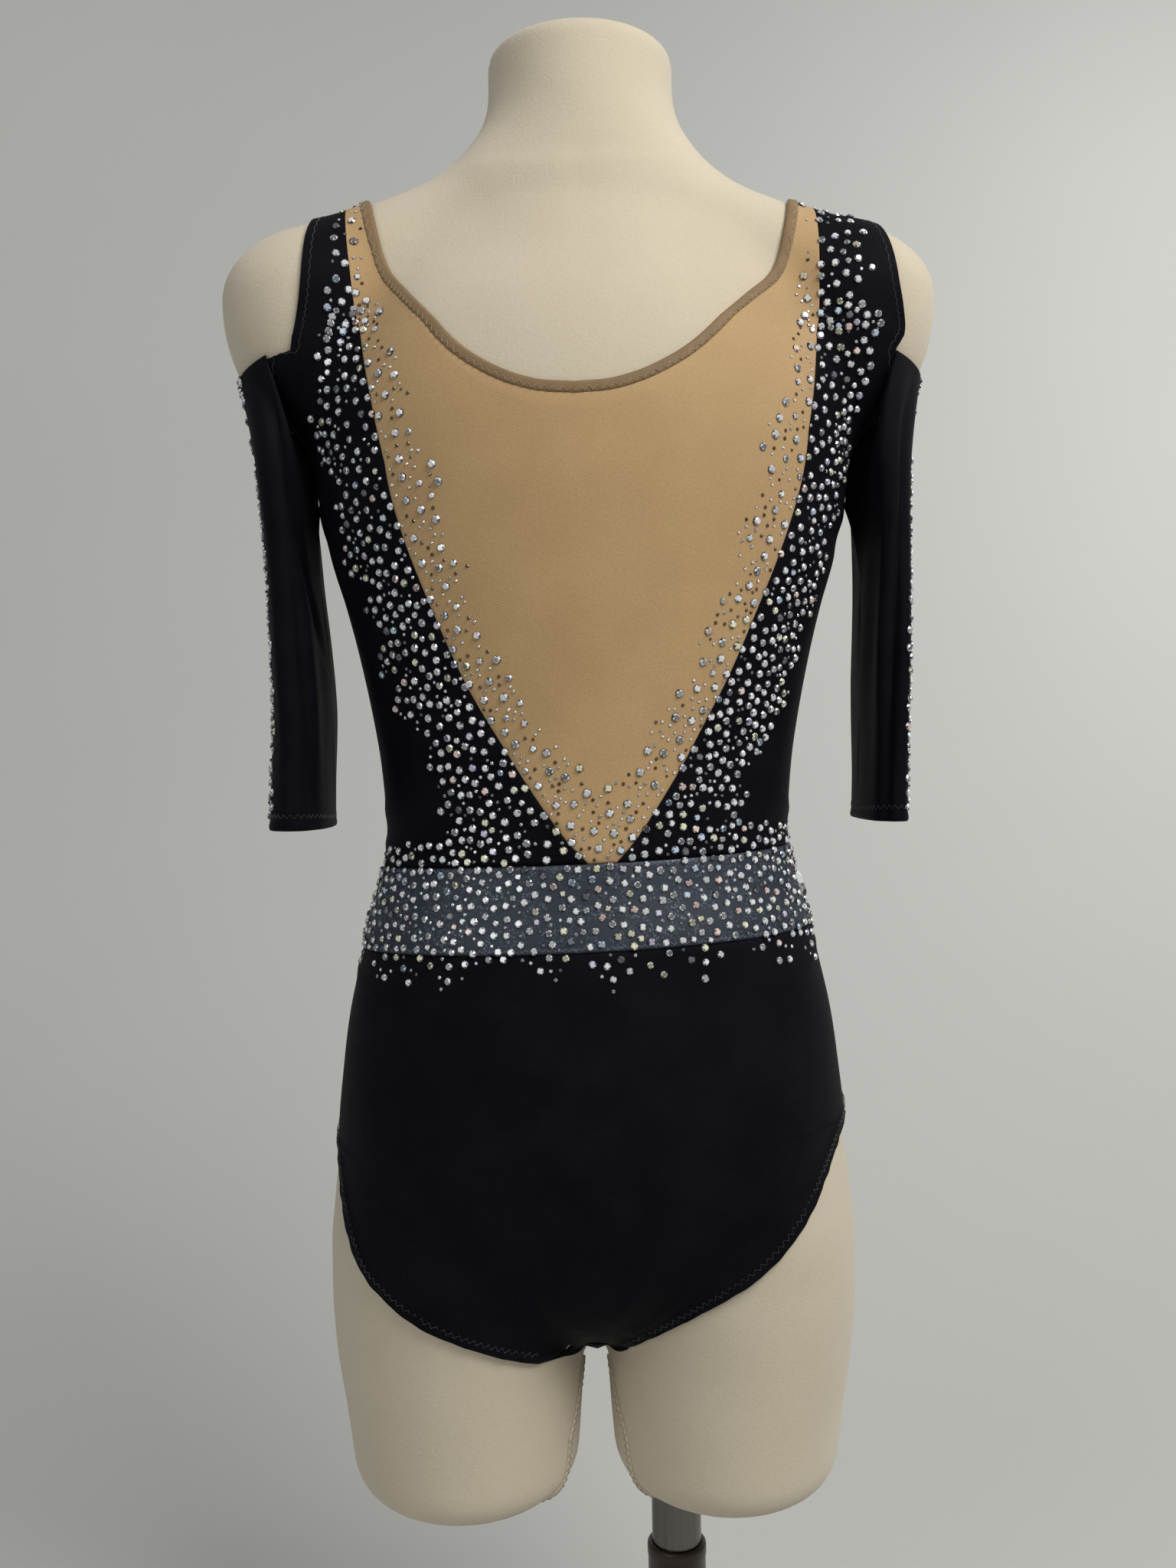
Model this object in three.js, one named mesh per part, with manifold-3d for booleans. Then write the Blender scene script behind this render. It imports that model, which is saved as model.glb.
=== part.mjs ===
// A rhythmic gymnastics leotard, worn by a limbless dress form on a short stand.
// Millimetres, +Z up. The wearer's back faces -Y, and the wearer's right side is at +X.
// Every cloth piece is a thin wall laid on the skin of the form, so the form comes first.
import * as THREE from 'three';
import { mergeVertices } from 'three/addons/utils/BufferGeometryUtils.js';
import Module from 'manifold-3d';

const wasm = await Module();
wasm.setup();

// Driving sizes
const CROTCH_UP = 320;          // the crotch above the surface that the stand is on
const CLOTH_CLEAR = 1.0;        // skin of the form to the inside of the cloth
const LEAST_CLEAR = 0.5;        // between facets of the cloth and the form's true skin
const CLOTH_WALL = 1.2;         // stretch cloth
const BELT_WALL = 1.5;          // the belt is a firmer, shinier cloth
const BINDING_WALL = 1.7;       // folded binding round the neck
const BINDING_WIDE = 6.2;
const SEAM_GAP = 0.4;           // between the edges of two pieces
const SHOULDER_GAP = 0.5;       // the same along the shoulder seam, in distance up
const SHOULDER_UP = 560;        // above this the skin rolls over the shoulder
const SHOULDER_AXIS_Y = -6;     // front to back place of the shoulder's ridge
const SHOULDER_SPAN = 91;       // distance up from there to the ridge, along the strap
const ROLL_START = 0.0111;      // radians of roll for each mm at its lower end, more further up
const ROLL_GROWTH = (Math.PI / 2 / SHOULDER_SPAN - ROLL_START) / SHOULDER_SPAN;
const RIDGE = SHOULDER_UP + SHOULDER_SPAN;
const WAIST_TOP = 275;          // upper edge of the belt
const WAIST_BOTTOM = 229;       // lower edge of the belt
const UNDERARM = 474;           // top of the side seam
const STRAP_END = 552;          // where the open shoulder ends and the sleeve's seam starts
const CROTCH_SEAM_BACK = 6;
const CROTCH_SEAM_FRONT = 14;
const ROD_RADIUS = 14.4;
const ROD_X = 46;
const COLLAR_DROP = 129;        // rim of the stand's tube below the crotch

// A short table with named columns, read by smooth interpolation between its rows.
function table(columns, rows) {
  const names = columns.split(' ');
  const key = rows.map((row) => row[0]);
  const read = {};
  names.slice(1).forEach((name, c) => {
    const value = rows.map((row) => row[c + 1]);
    const slope = value.map((_, i) => {
      const a = Math.max(i - 1, 0);
      const b = Math.min(i + 1, value.length - 1);
      return (value[b] - value[a]) / (key[b] - key[a]);
    });
    read[name] = (at) => {
      const x = Math.min(Math.max(at, key[0]), key[key.length - 1]);
      let i = 0;
      while (i < key.length - 2 && x > key[i + 1]) i += 1;
      const h = key[i + 1] - key[i];
      const t = (x - key[i]) / h;
      return (2 * t ** 3 - 3 * t ** 2 + 1) * value[i] + (t ** 3 - 2 * t ** 2 + t) * h * slope[i]
        + (3 * t ** 2 - 2 * t ** 3) * value[i + 1] + (t ** 3 - t ** 2) * h * slope[i + 1];
    };
  });
  return read;
}

// The form, in sections up from the crotch: half its width, and its depth to back and to front.
const TRUNK = table('up half back front', [
  [-4, 10, 10, 8], [12, 66, 50, 44], [40, 112, 84, 68], [80, 141, 103, 82], [115, 144, 105, 86],
  [160, 140, 97, 86], [188, 136, 90, 85], [215, 130, 84, 83], [240, 124.5, 79, 81],
  [262, 117.5, 75, 80], [284, 113.5, 73.5, 79.5], [306, 114, 73.5, 80], [340, 117.5, 76, 83],
  [392, 127.5, 83.5, 91], [451, 142.5, 92, 103], [485, 149, 96, 107], [530, 149, 96, 100],
  [575, 130, 85, 78], [610, 100, 62, 58], [635, 60, 40, 40],
]);
const TRUNK_LOW = -4;
const TRUNK_HIGH = 635;
const THIGH = table('up centre half depth', [
  [-90, 75, 63, 71], [-40, 76, 68, 77], [0, 78, 71.5, 82], [40, 78, 73, 88],
  [80, 75, 73, 92], [125, 66, 62, 78], [160, 55, 40, 50],
]);
const THIGH_LOW = -87;
const THIGH_HIGH = 160;
const NECK = { x: 2, y: 2, lean: 0.1, half: 53, depth: 56, low: 560, top: 733 };
const CAP = { x: 152, y: -4, up: 588, wide: 50, deep: 46, above: 40, below: 72 };
const SLOPE = { innerX: 50, innerUp: 631, innerR: 34, outerX: 146, outerUp: 593, outerR: 36 };

// The parts of the form melt into each other over these distances.
const MELT = { slope: 12, neck: 48, upper: 26, thigh: 14, thighEnd: 22, neckEnd: 10 };

function meltMin(a, b, k) {
  const h = Math.min(Math.max(0.5 + 0.5 * (b - a) / k, 0), 1);
  return b * (1 - h) + a * h - k * h * (1 - h);
}
const meltMax = (a, b, k) => -meltMin(-a, -b, k);

function oval(dx, dy, half, depth) {
  const q = Math.hypot(dx / half, dy / depth);
  return q > 1e-6 ? Math.hypot(dx, dy) * (1 - 1 / q) : -half;
}
function egg(dx, dy, dz, rx, ry, rz) {
  const q = Math.hypot(dx / rx, dy / ry, dz / rz);
  return q > 1e-6 ? Math.hypot(dx, dy, dz) * (1 - 1 / q) : -rx;
}

function thighField(x, y, z) {
  const side = oval(x - THIGH.centre(z), y, THIGH.half(z), THIGH.depth(z));
  return meltMax(Math.max(side, z - THIGH_HIGH), THIGH_LOW - z, MELT.thighEnd);
}
function bodyField(x, y, z) {
  const ax = Math.abs(x);
  const depth = y < 0 ? TRUNK.back(z) : TRUNK.front(z);
  const trunk = Math.max(oval(x, y, TRUNK.half(z), depth), z - TRUNK_HIGH, TRUNK_LOW - z);
  const neckY = NECK.y + NECK.lean * (z - 650);
  const neckSide = oval(x - NECK.x, y - neckY, NECK.half, NECK.depth);
  const neck = meltMax(Math.max(neckSide, NECK.low - z), z - NECK.top, MELT.neckEnd);
  const dz = z - CAP.up;
  const cap = egg(ax - CAP.x, y - CAP.y, dz, CAP.wide, CAP.deep, dz > 0 ? CAP.above : CAP.below);
  const run = SLOPE.outerX - SLOPE.innerX;
  const rise = SLOPE.outerUp - SLOPE.innerUp;
  const along = ((ax - SLOPE.innerX) * run + (z - SLOPE.innerUp) * rise) / (run * run + rise * rise);
  const t = Math.min(Math.max(along, 0), 1);
  const slope = Math.hypot(ax - SLOPE.innerX - t * run, y - SHOULDER_AXIS_Y, z - SLOPE.innerUp - t * rise)
    - (SLOPE.innerR + t * (SLOPE.outerR - SLOPE.innerR));
  const upper = meltMin(meltMin(slope, cap, MELT.slope), neck, MELT.neck);
  return meltMin(trunk, upper, MELT.upper);
}
function field(x, y, z) {
  return meltMin(bodyField(x, y, z), thighField(Math.abs(x), y, z), MELT.thigh);
}

// Where a line from inside the form leaves it for the last time
function leave(origin, direction, shape = field, far = 260) {
  const at = (t) => shape(origin.x + t * direction.x, origin.y + t * direction.y, origin.z + t * direction.z);
  let high = far;
  let low = far - 4;
  while (low > 0 && at(low) > 0) {
    high = low;
    low -= 4;
  }
  for (let i = 0; i < 18; i += 1) {
    const mid = (low + high) / 2;
    if (at(mid) > 0) high = mid; else low = mid;
  }
  return origin.clone().addScaledVector(direction, (low + high) / 2);
}
function normalAt(p, shape = field) {
  const e = 1;
  return new THREE.Vector3(
    shape(p.x + e, p.y, p.z) - shape(p.x - e, p.y, p.z),
    shape(p.x, p.y + e, p.z) - shape(p.x, p.y - e, p.z),
    shape(p.x, p.y, p.z + e) - shape(p.x, p.y, p.z - e),
  ).normalize();
}
const onForm = (p) => ({ p, n: normalAt(p) });

// Places on the skin: how far across from the middle, and how far up.
// Up to the flat stretch the lines run straight back (or front), then fan out to the side.
const BACK = -1;
const FRONT = 1;
const FAN = table('up flat radius', [
  [0, 60, 80], [120, 60, 85], [250, 50, 70], [400, 60, 75], [480, 100, 55], [545, 155, 40], [560, 172, 40],
]);
const sideSeam = (up) => FAN.flat(up) + FAN.radius(up) * Math.PI / 2;

// The leotard sits a little higher on the wearer's right round the waist: rise for each mm across
const TILT = table('up rise', [[110, 0], [200, 0.03], [310, 0.03], [430, 0]]);

function skin(face, across, up) {
  const level = Math.min(up, SHOULDER_UP);
  const past = Math.max(up - SHOULDER_UP, 0);
  const roll = past * (ROLL_START + ROLL_GROWTH * past);
  const flat = FAN.flat(level);
  const side = Math.sign(across);
  const fan = Math.max(Math.abs(across) - flat, 0) / FAN.radius(level);
  const x = side * Math.min(Math.abs(across), flat);
  const origin = new THREE.Vector3(x, roll > 0 ? SHOULDER_AXIS_Y : 0, level + TILT.rise(level) * across);
  const out = new THREE.Vector3(side * Math.sin(fan), face * Math.cos(fan), 0);
  const direction = out.multiplyScalar(Math.cos(roll)).setZ(Math.sin(roll));
  return onForm(leave(origin, direction));
}
// The across value whose point on the skin has this x
function acrossAt(face, x, up) {
  let low = 0;
  let high = sideSeam(up);
  for (let i = 0; i < 16; i += 1) {
    const mid = (low + high) / 2;
    if (skin(face, mid, up).p.x < Math.abs(x)) low = mid; else high = mid;
  }
  return Math.sign(x) * (low + high) / 2;
}

// A closed mesh from shared points, turned so that its faces point out
function closedMesh(name, points, faces, material) {
  const signed = ([i, j, k]) => points[i].dot(points[j].clone().cross(points[k]));
  const volume = faces.reduce((sum, face) => sum + signed(face), 0);
  const index = faces.flatMap(([i, j, k]) => (volume > 0 ? [i, j, k] : [i, k, j]));
  const geometry = new THREE.BufferGeometry();
  geometry.setAttribute('position', new THREE.Float32BufferAttribute(points.flatMap((p) => p.toArray()), 3));
  geometry.setIndex(index);
  geometry.computeVertexNormals();
  const mesh = new THREE.Mesh(geometry, material);
  mesh.name = name;
  return mesh;
}

// Lets the cloth out a little wherever its flat facets would come too near the form
const LET_OUT = { turns: 8, share: 0.6 };
function letOut(grid, from, round) {
  const rows = grid.length;
  const columns = grid[0].length;
  const lift = grid.map((row) => row.map(() => 0));
  const place = (i, j) => grid[i][j].p.clone().addScaledVector(grid[i][j].n, from + lift[i][j]);
  const pairs = [];
  for (let i = 0; i < rows; i += 1) {
    for (let j = 0; j < columns; j += 1) {
      const next = round ? (j + 1) % columns : j + 1;
      if (next < columns) pairs.push([i, j, i, next]);
      if (i < rows - 1) pairs.push([i, j, i + 1, j]);
      if (i < rows - 1 && next < columns) pairs.push([i, j, i + 1, next], [i, next, i + 1, j]);
    }
  }
  for (let turn = 0; turn < LET_OUT.turns; turn += 1) {
    for (const [i, j, k, l] of pairs) {
      const middle = place(i, j).lerp(place(k, l), 0.5);
      const lack = LEAST_CLEAR - field(middle.x, middle.y, middle.z);
      if (lack > 0) {
        lift[i][j] += lack * LET_OUT.share;
        lift[k][l] += lack * LET_OUT.share;
      }
    }
  }
  return lift;
}

// A wall between two offsets from a grid of places, open or joined round on itself
function wall(name, grid, from, to, material, round = false) {
  const rows = grid.length;
  const columns = grid[0].length;
  const lift = letOut(grid, from, round);
  const points = [];
  for (const offset of [from, to]) {
    grid.forEach((row, i) => row.forEach(({ p, n }, j) => {
      points.push(p.clone().addScaledVector(n, offset + lift[i][j]));
    }));
  }
  const at = (i, j, layer) => layer * rows * columns + i * columns + (j % columns);
  const faces = [];
  const quad = (a, b, c, d) => faces.push([a, b, c], [a, c, d]);
  const last = round ? columns : columns - 1;
  for (let i = 0; i < rows - 1; i += 1) {
    for (let j = 0; j < last; j += 1) {
      quad(at(i, j, 1), at(i, j + 1, 1), at(i + 1, j + 1, 1), at(i + 1, j, 1));
      quad(at(i, j, 0), at(i + 1, j, 0), at(i + 1, j + 1, 0), at(i, j + 1, 0));
    }
    if (!round) {
      quad(at(i, 0, 0), at(i, 0, 1), at(i + 1, 0, 1), at(i + 1, 0, 0));
      quad(at(i, last, 1), at(i, last, 0), at(i + 1, last, 0), at(i + 1, last, 1));
    }
  }
  for (let j = 0; j < last; j += 1) {
    quad(at(0, j, 0), at(0, j + 1, 0), at(0, j + 1, 1), at(0, j, 1));
    quad(at(rows - 1, j, 1), at(rows - 1, j + 1, 1), at(rows - 1, j + 1, 0), at(rows - 1, j, 0));
  }
  return closedMesh(name, points, faces, material);
}
const spread = (from, to, steps) => (
  Array.from({ length: steps + 1 }, (_, i) => from + (to - from) * i / steps)
);
const cloth = (name, grid, material, round = false) => wall(
  name, grid, CLOTH_CLEAR, CLOTH_CLEAR + CLOTH_WALL, material, round,
);

// Materials
const black = new THREE.MeshStandardMaterial({ color: 0x0b0c14, roughness: 0.62, metalness: 0 });
const mesh = new THREE.MeshStandardMaterial({ color: 0xb08d5e, roughness: 0.6, metalness: 0 });
const tape = new THREE.MeshStandardMaterial({ color: 0x9c7a4c, roughness: 0.7, metalness: 0 });
const belt = new THREE.MeshStandardMaterial({ color: 0x4c5866, roughness: 0.35, metalness: 0.2 });
const jersey = new THREE.MeshStandardMaterial({ color: 0xd8cdb4, roughness: 0.9, metalness: 0 });
const steel = new THREE.MeshStandardMaterial({ color: 0x8b8a88, roughness: 0.3, metalness: 1 });
const bronze = new THREE.MeshStandardMaterial({ color: 0x2c241f, roughness: 0.4, metalness: 0.7 });

// Cut lines of the leotard, as distance across from the middle, by distance up
const BACK_V = table('up across', [
  [WAIST_TOP, 7.5], [288, 19], [315, 37], [342, 53], [376, 73], [417, 90.5], [463, 104],
  [507, 114], [570, 124], [618, 128], [RIDGE, 130],
]);
// The whole V lies to the wearer's right by this much
const V_SHIFT = table('up right', [[WAIST_TOP, 5.5], [500, 5], [575, 3.5], [618, 1.5], [RIDGE, 0]]);
const STRAP_OUTER = table('up left right', [
  [STRAP_END, 158, 170.5], [562, 156, 176], [587, 152.5, 174.5], [604, 150.5, 171.5], [625, 149, 168],
  [RIDGE, 146, 163],
]);
// The sleeve's seam, as the angle round from the back or the front
const ARMHOLE = table('up angle', [
  [UNDERARM, 90], [490, 84], [505, 76], [520, 62], [535, 40], [545, 25], [STRAP_END, 12],
]);
const NECK_END = 118;           // distance across of the neckline at the shoulder
const NECK_BACK = table('across up', [
  [0, 522], [20, 524], [41, 532], [62, 547], [82, 572], [99, 603], [111, 628], [NECK_END, RIDGE],
]);
// and the bottom of the neckline behind lies to the left
const NECK_LEAN = table('up left', [[522, 6], [547, 4.5], [575, 2], [605, 0], [RIDGE, 0]]);
const NECK_FRONT = table('across up', [
  [0, 568], [30, 572], [58, 584], [82, 603], [101, 624], [112, 640], [NECK_END, RIDGE],
]);
const LEG_BACK = table('up left right', [
  [6, 34, 18], [20, 62, 31], [35, 93, 50], [45, 108, 64], [58, 123, 82], [72, 131, 98],
  [86, 136, 111], [101, 140, 122], [114, 143, 132], [122, 150, 139], [132, 150, 150],
]);
const LEG_FRONT = table('up left right', [
  [CROTCH_SEAM_FRONT, 27, 27], [30, 34, 33], [45, 45, 42], [60, 60, 54], [74, 77, 68], [88, 96, 84],
  [101, 115, 101], [114, 134, 119], [122, 150, 132], [132, 150, 150],
]);
const LEG_SIDE = { left: 122, right: 132 };   // where the leg opening meets the side seam

const seamAcross = (up) => FAN.flat(up) + FAN.radius(up) * THREE.MathUtils.degToRad(ARMHOLE.angle(up));
const ARMHOLE_EASE = 2.2;       // the bodice ends this far short of that seam, whose curve is hollow

// Outer edge of the bodice at a height: side seam, then sleeve seam, then the strap's edge
function bodiceEdge(up, side) {
  if (up <= UNDERARM) return sideSeam(up) - SEAM_GAP / 2;
  if (up <= STRAP_END) return seamAcross(up) - ARMHOLE_EASE;
  return side < 0 ? STRAP_OUTER.left(up) : STRAP_OUTER.right(up);
}

// Points along half a neckline, from the middle to the ridge, evenly by length
function evenly(path, count) {
  const length = [0];
  for (let i = 1; i < path.length; i += 1) {
    length.push(length[i - 1] + Math.hypot(path[i][0] - path[i - 1][0], path[i][1] - path[i - 1][1]));
  }
  return spread(0, length[length.length - 1], count).map((want) => {
    let i = 1;
    while (i < path.length - 1 && length[i] < want) i += 1;
    const t = (want - length[i - 1]) / (length[i] - length[i - 1]);
    return [0, 1].map((k) => path[i - 1][k] + t * (path[i][k] - path[i - 1][k]));
  });
}
const STEPS = {
  seam: 22, neck: 22, insert: 5, side: 6, front: 6, belt: 48, briefs: 18, sleeve: 24, drop: 11,
};
const neckPath = (line) => spread(0, NECK_END, 60).map((across) => [across, line.up(across)]);

// A neckline moved outwards by a distance, away from the neck
function neckOffset(line, distance) {
  const half = evenly(neckPath(line), STEPS.neck);
  return half.map(([across, up], i) => {
    const [a, b] = [half[Math.max(i - 1, 0)], half[Math.min(i + 1, half.length - 1)]];
    const [dx, dy] = i === 0 ? [1, 0] : i === half.length - 1 ? [0, 1] : [b[0] - a[0], b[1] - a[1]];
    const size = Math.hypot(dx, dy);
    return [across + distance * dy / size, up - distance * dx / size];
  });
}
const bothSides = (left, right) => [...left.slice(1).reverse().map(([across, up]) => [-across, up]), ...right];
const mirrored = (half) => bothSides(half, half);
const backNeck = (distance) => (
  mirrored(neckOffset(NECK_BACK, distance)).map(([across, up]) => [across - NECK_LEAN.left(up), up])
);

// The seam of the V from the waist to the shoulder, moved out by a distance
const BODICE_LOW = WAIST_TOP + SEAM_GAP / 2;
function vSeam(side, out) {
  const path = spread(BODICE_LOW, RIDGE, 90).map((up) => [BACK_V.across(up) + side * V_SHIFT.right(up) + out, up]);
  return evenly(path, STEPS.seam - 1);
}

// Back insert of sheer mesh, between the neckline and the V of the seams
function backInsert() {
  const inner = backNeck(BINDING_WIDE + SEAM_GAP);
  const [left, right] = [-1, 1].map((side) => [[0, BODICE_LOW], ...vSeam(side, -SEAM_GAP / 2)]);
  const outer = bothSides(left, right);
  const grid = inner.map(([across, up], i) => spread(0, 1, STEPS.insert).map((t) => skin(
    BACK, across + t * (outer[i][0] - across), up + t * (outer[i][1] - up),
  )));
  return cloth('back_mesh_insert', grid, mesh);
}

// Black side of the back, with its strap up to the shoulder seam
function backSide(name, side) {
  const grid = vSeam(side, SEAM_GAP / 2).map(([from, up]) => (
    spread(from, bodiceEdge(up, side), STEPS.side).map((across) => skin(BACK, side * across, up))
  ));
  return cloth(name, grid, black);
}

// Plain front, one piece from strap to strap
function frontBodice() {
  const inner = mirrored(neckOffset(NECK_FRONT, BINDING_WIDE + SEAM_GAP));
  const [left, right] = [-1, 1].map((side) => evenly([
    ...spread(0, bodiceEdge(BODICE_LOW, side), 20).map((across) => [across, BODICE_LOW]),
    ...spread(BODICE_LOW, RIDGE, 120).slice(1).map((up) => [bodiceEdge(up, side), up]),
  ], STEPS.neck));
  const outer = bothSides(left, right);
  const grid = inner.map(([across, up], i) => spread(0, 1, STEPS.front).map((t) => skin(
    FRONT, across + t * (outer[i][0] - across), Math.min(up + t * (outer[i][1] - up), RIDGE - SHOULDER_GAP),
  )));
  return cloth('front_bodice', grid, black);
}

// Folded binding all round the neck, back then front
function neckBinding() {
  const strip = (face, line) => {
    const outer = line(BINDING_WIDE);
    return line(0).map(([across, up], i) => [skin(face, across, up), skin(face, outer[i][0], outer[i][1])]);
  };
  const back = strip(BACK, backNeck);
  const front = strip(FRONT, (distance) => mirrored(neckOffset(NECK_FRONT, distance))).reverse();
  const grid = [...back, ...front.slice(1, -1)];
  const turned = [0, 1].map((k) => grid.map((pair) => pair[k]));
  return wall('neck_binding', turned, CLOTH_CLEAR, CLOTH_CLEAR + BINDING_WALL, tape, true);
}

// Belt of shiny cloth, one ring
function beltRing() {
  const grid = spread(WAIST_BOTTOM + SEAM_GAP / 2, WAIST_TOP - SEAM_GAP / 2, 3).map((up) => {
    const half = spread(-sideSeam(up), sideSeam(up), STEPS.belt / 2).slice(0, -1);
    const back = half.map((across) => skin(BACK, across, up));
    const front = half.map((across) => skin(FRONT, -across, up));
    return [...back, ...front];
  });
  return wall('waist_belt', grid, CLOTH_CLEAR, CLOTH_CLEAR + BELT_WALL, belt, true);
}

// Briefs: rows up from the crotch seam to the belt, as wide as the leg openings leave them
function briefs(name, face, ups, legLeft, legRight) {
  const grid = ups.map((up) => {
    const edge = (leg, sideUp, side) => {
      const seam = sideSeam(up) - SEAM_GAP / 2;
      if (up >= sideUp) return side * seam;
      return acrossAt(face, side * leg(up), up);
    };
    const from = edge(legLeft, LEG_SIDE.left, -1);
    const to = edge(legRight, LEG_SIDE.right, 1);
    return spread(from, to, STEPS.briefs).map((across) => skin(face, across, up));
  });
  return cloth(name, grid, black);
}
const BRIEFS_UPS = [34, 47, 60, 74, 88, 101, 112, 122, 132, 150, 170, 190, 210, WAIST_BOTTOM - SEAM_GAP / 2];
const BRIEFS_UPS_BACK = [CROTCH_SEAM_BACK, 12, 20, ...BRIEFS_UPS];
const BRIEFS_UPS_FRONT = [CROTCH_SEAM_FRONT, ...BRIEFS_UPS];
const briefsBack = () => briefs('briefs_back', BACK, BRIEFS_UPS_BACK, LEG_BACK.left, LEG_BACK.right);
const briefsFront = () => briefs('briefs_front', FRONT, BRIEFS_UPS_FRONT, LEG_FRONT.left, LEG_FRONT.right);

// Moves a place straight on to the skin, from close by
function settle(p) {
  const q = p.clone();
  for (let i = 0; i < 12; i += 1) q.addScaledVector(normalAt(q), -0.8 * field(q.x, q.y, q.z));
  return onForm(q);
}

// Gusset, between the thighs from the back's crotch seam to the front's. It is laid out as an arch
// that narrows fast to its least half width, and is then settled on to the skin.
const GUSSET = { half: 4, narrowing: 0.6, reach: 46, start: 4, drop: 10, steps: 10, columns: 6 };
function gusset() {
  const seamPlace = (face, x, up) => skin(face, acrossAt(face, x, up), up - SEAM_GAP);
  const grid = spread(0, 1, GUSSET.steps).map((t) => {
    const turn = Math.PI * t;
    const narrow = Math.sin(turn) ** GUSSET.narrowing;
    return spread(-1, 1, GUSSET.columns).map((s) => {
      const back = s < 0 ? LEG_BACK.left(CROTCH_SEAM_BACK) : LEG_BACK.right(CROTCH_SEAM_BACK);
      const front = LEG_FRONT.left(CROTCH_SEAM_FRONT);
      if (t === 0) return seamPlace(BACK, s * back, CROTCH_SEAM_BACK);
      if (t === 1) return seamPlace(FRONT, s * front, CROTCH_SEAM_FRONT);
      const half = (t < 0.5 ? back : front) * (1 - narrow) + GUSSET.half * narrow;
      const along = -GUSSET.reach * Math.cos(turn);
      return settle(new THREE.Vector3(s * half, along, GUSSET.start - GUSSET.drop * Math.sin(turn)));
    });
  });
  return cloth('gusset', grid, black);
}

// Sleeve: hangs from the seam and from the arm cap, flattened from side to side
const SLEEVE_LEFT = table('up outer inner deep', [
  [293, 179.5, 147, 42], [350, 176.5, 145.5, 41], [400, 177, 148, 40], [440, 178, 152, 40],
  [473, 180.5, 154, 41], [505, 184, 152, 42], [545, 189, 150, 42],
]);
const SLEEVE_RIGHT = table('up outer inner deep', [
  [293, 180, 157, 42], [350, 181.5, 158, 41], [400, 183, 159, 40], [440, 183, 160, 40],
  [473, 183.5, 159, 41], [505, 185.5, 154, 42], [545, 189, 150, 42],
]);
const SLEEVE_HEM = 293;
const SLEEVE_LAP = 1.8;         // the sleeve starts this far past the bodice's edge
const SLEEVE_PROUD = 2.2;       // and this much further out at the underarm, where it hangs free
const RIM_DIP = 8;              // the open shoulder's rim is lower at the outside
const CORNER_TURN = 78;         // angle round the sleeve of the strap's lower corner
const SLEEVE_ROUND = 0.86;      // 1 is an oval section, less is squarer
const SLEEVE_BACK = 2;          // the sleeve's middle is this far behind the form's
const SLEEVE_SETTLE = 55;       // the drop over which the seam's shape gives way to the section
const SLEEVE_ROW_EASE = 1.25;   // rows lie closer together near the seam

function sleeve(name, side) {
  const mid = CLOTH_CLEAR + CLOTH_WALL / 2;
  const shape = side < 0 ? SLEEVE_LEFT : SLEEVE_RIGHT;
  const section = (up, turn) => {
    const [outer, inner] = [shape.outer(up), shape.inner(up)];
    const c = Math.cos(turn);
    const s = Math.sin(turn);
    return new THREE.Vector3(
      (outer + inner) / 2 - Math.sign(c) * Math.abs(c) ** SLEEVE_ROUND * (outer - inner) / 2,
      -Math.sign(s) * Math.abs(s) ** SLEEVE_ROUND * shape.deep(up) - SLEEVE_BACK,
      up,
    );
  };
  const corner = THREE.MathUtils.degToRad(CORNER_TURN);
  const top = (turn) => {
    const face = Math.sin(turn) >= 0 ? BACK : FRONT;
    const away = Math.min(turn, 2 * Math.PI - turn);
    if (away <= corner) {
      const up = UNDERARM + (STRAP_END - UNDERARM) * Math.sin(away / corner * Math.PI / 2);
      const { p, n } = skin(face, seamAcross(up) + SLEEVE_LAP, up);
      return p.addScaledVector(n, mid + SLEEVE_PROUD * Math.sqrt(1 - away / corner));
    }
    const share = (away - corner) / (Math.PI - corner);
    const up = STRAP_END - RIM_DIP * Math.sin(share * Math.PI / 2);
    const start = skin(face, seamAcross(STRAP_END) + SLEEVE_LAP, STRAP_END).p;
    const startAngle = Math.atan2(face * (start.y - CAP.y), start.x - CAP.x);
    const angle = startAngle * (1 - share);
    const direction = new THREE.Vector3(Math.cos(angle), face * Math.abs(Math.sin(angle)), 0);
    const { p, n } = onForm(leave(new THREE.Vector3(CAP.x, CAP.y, up), direction));
    return p.addScaledVector(n, mid);
  };
  const columns = spread(0, 2 * Math.PI, STEPS.sleeve).slice(0, -1);
  const places = spread(0, 1, STEPS.drop).map((t) => columns.map((turn) => {
    const high = top(turn);
    const up = high.z + (SLEEVE_HEM - high.z) * t ** SLEEVE_ROW_EASE;
    const keep = Math.max(1 - (high.z - up) / SLEEVE_SETTLE, 0) ** 2;
    const p = section(up, turn).addScaledVector(high.clone().sub(section(high.z, turn)), keep);
    return p.setX(side * p.x);
  }));
  const grid = places.map((row, i) => row.map((p, j) => {
    const n = row.length;
    const along = row[(j + 1) % n].clone().sub(row[(j + n - 1) % n]);
    const down = places[Math.min(i + 1, STEPS.drop)][j].clone().sub(places[Math.max(i - 1, 0)][j]);
    return { p, n: along.cross(down).normalize().multiplyScalar(-side) };
  }));
  return wall(name, grid, -CLOTH_WALL / 2, CLOTH_WALL / 2, black, true);
}

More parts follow.
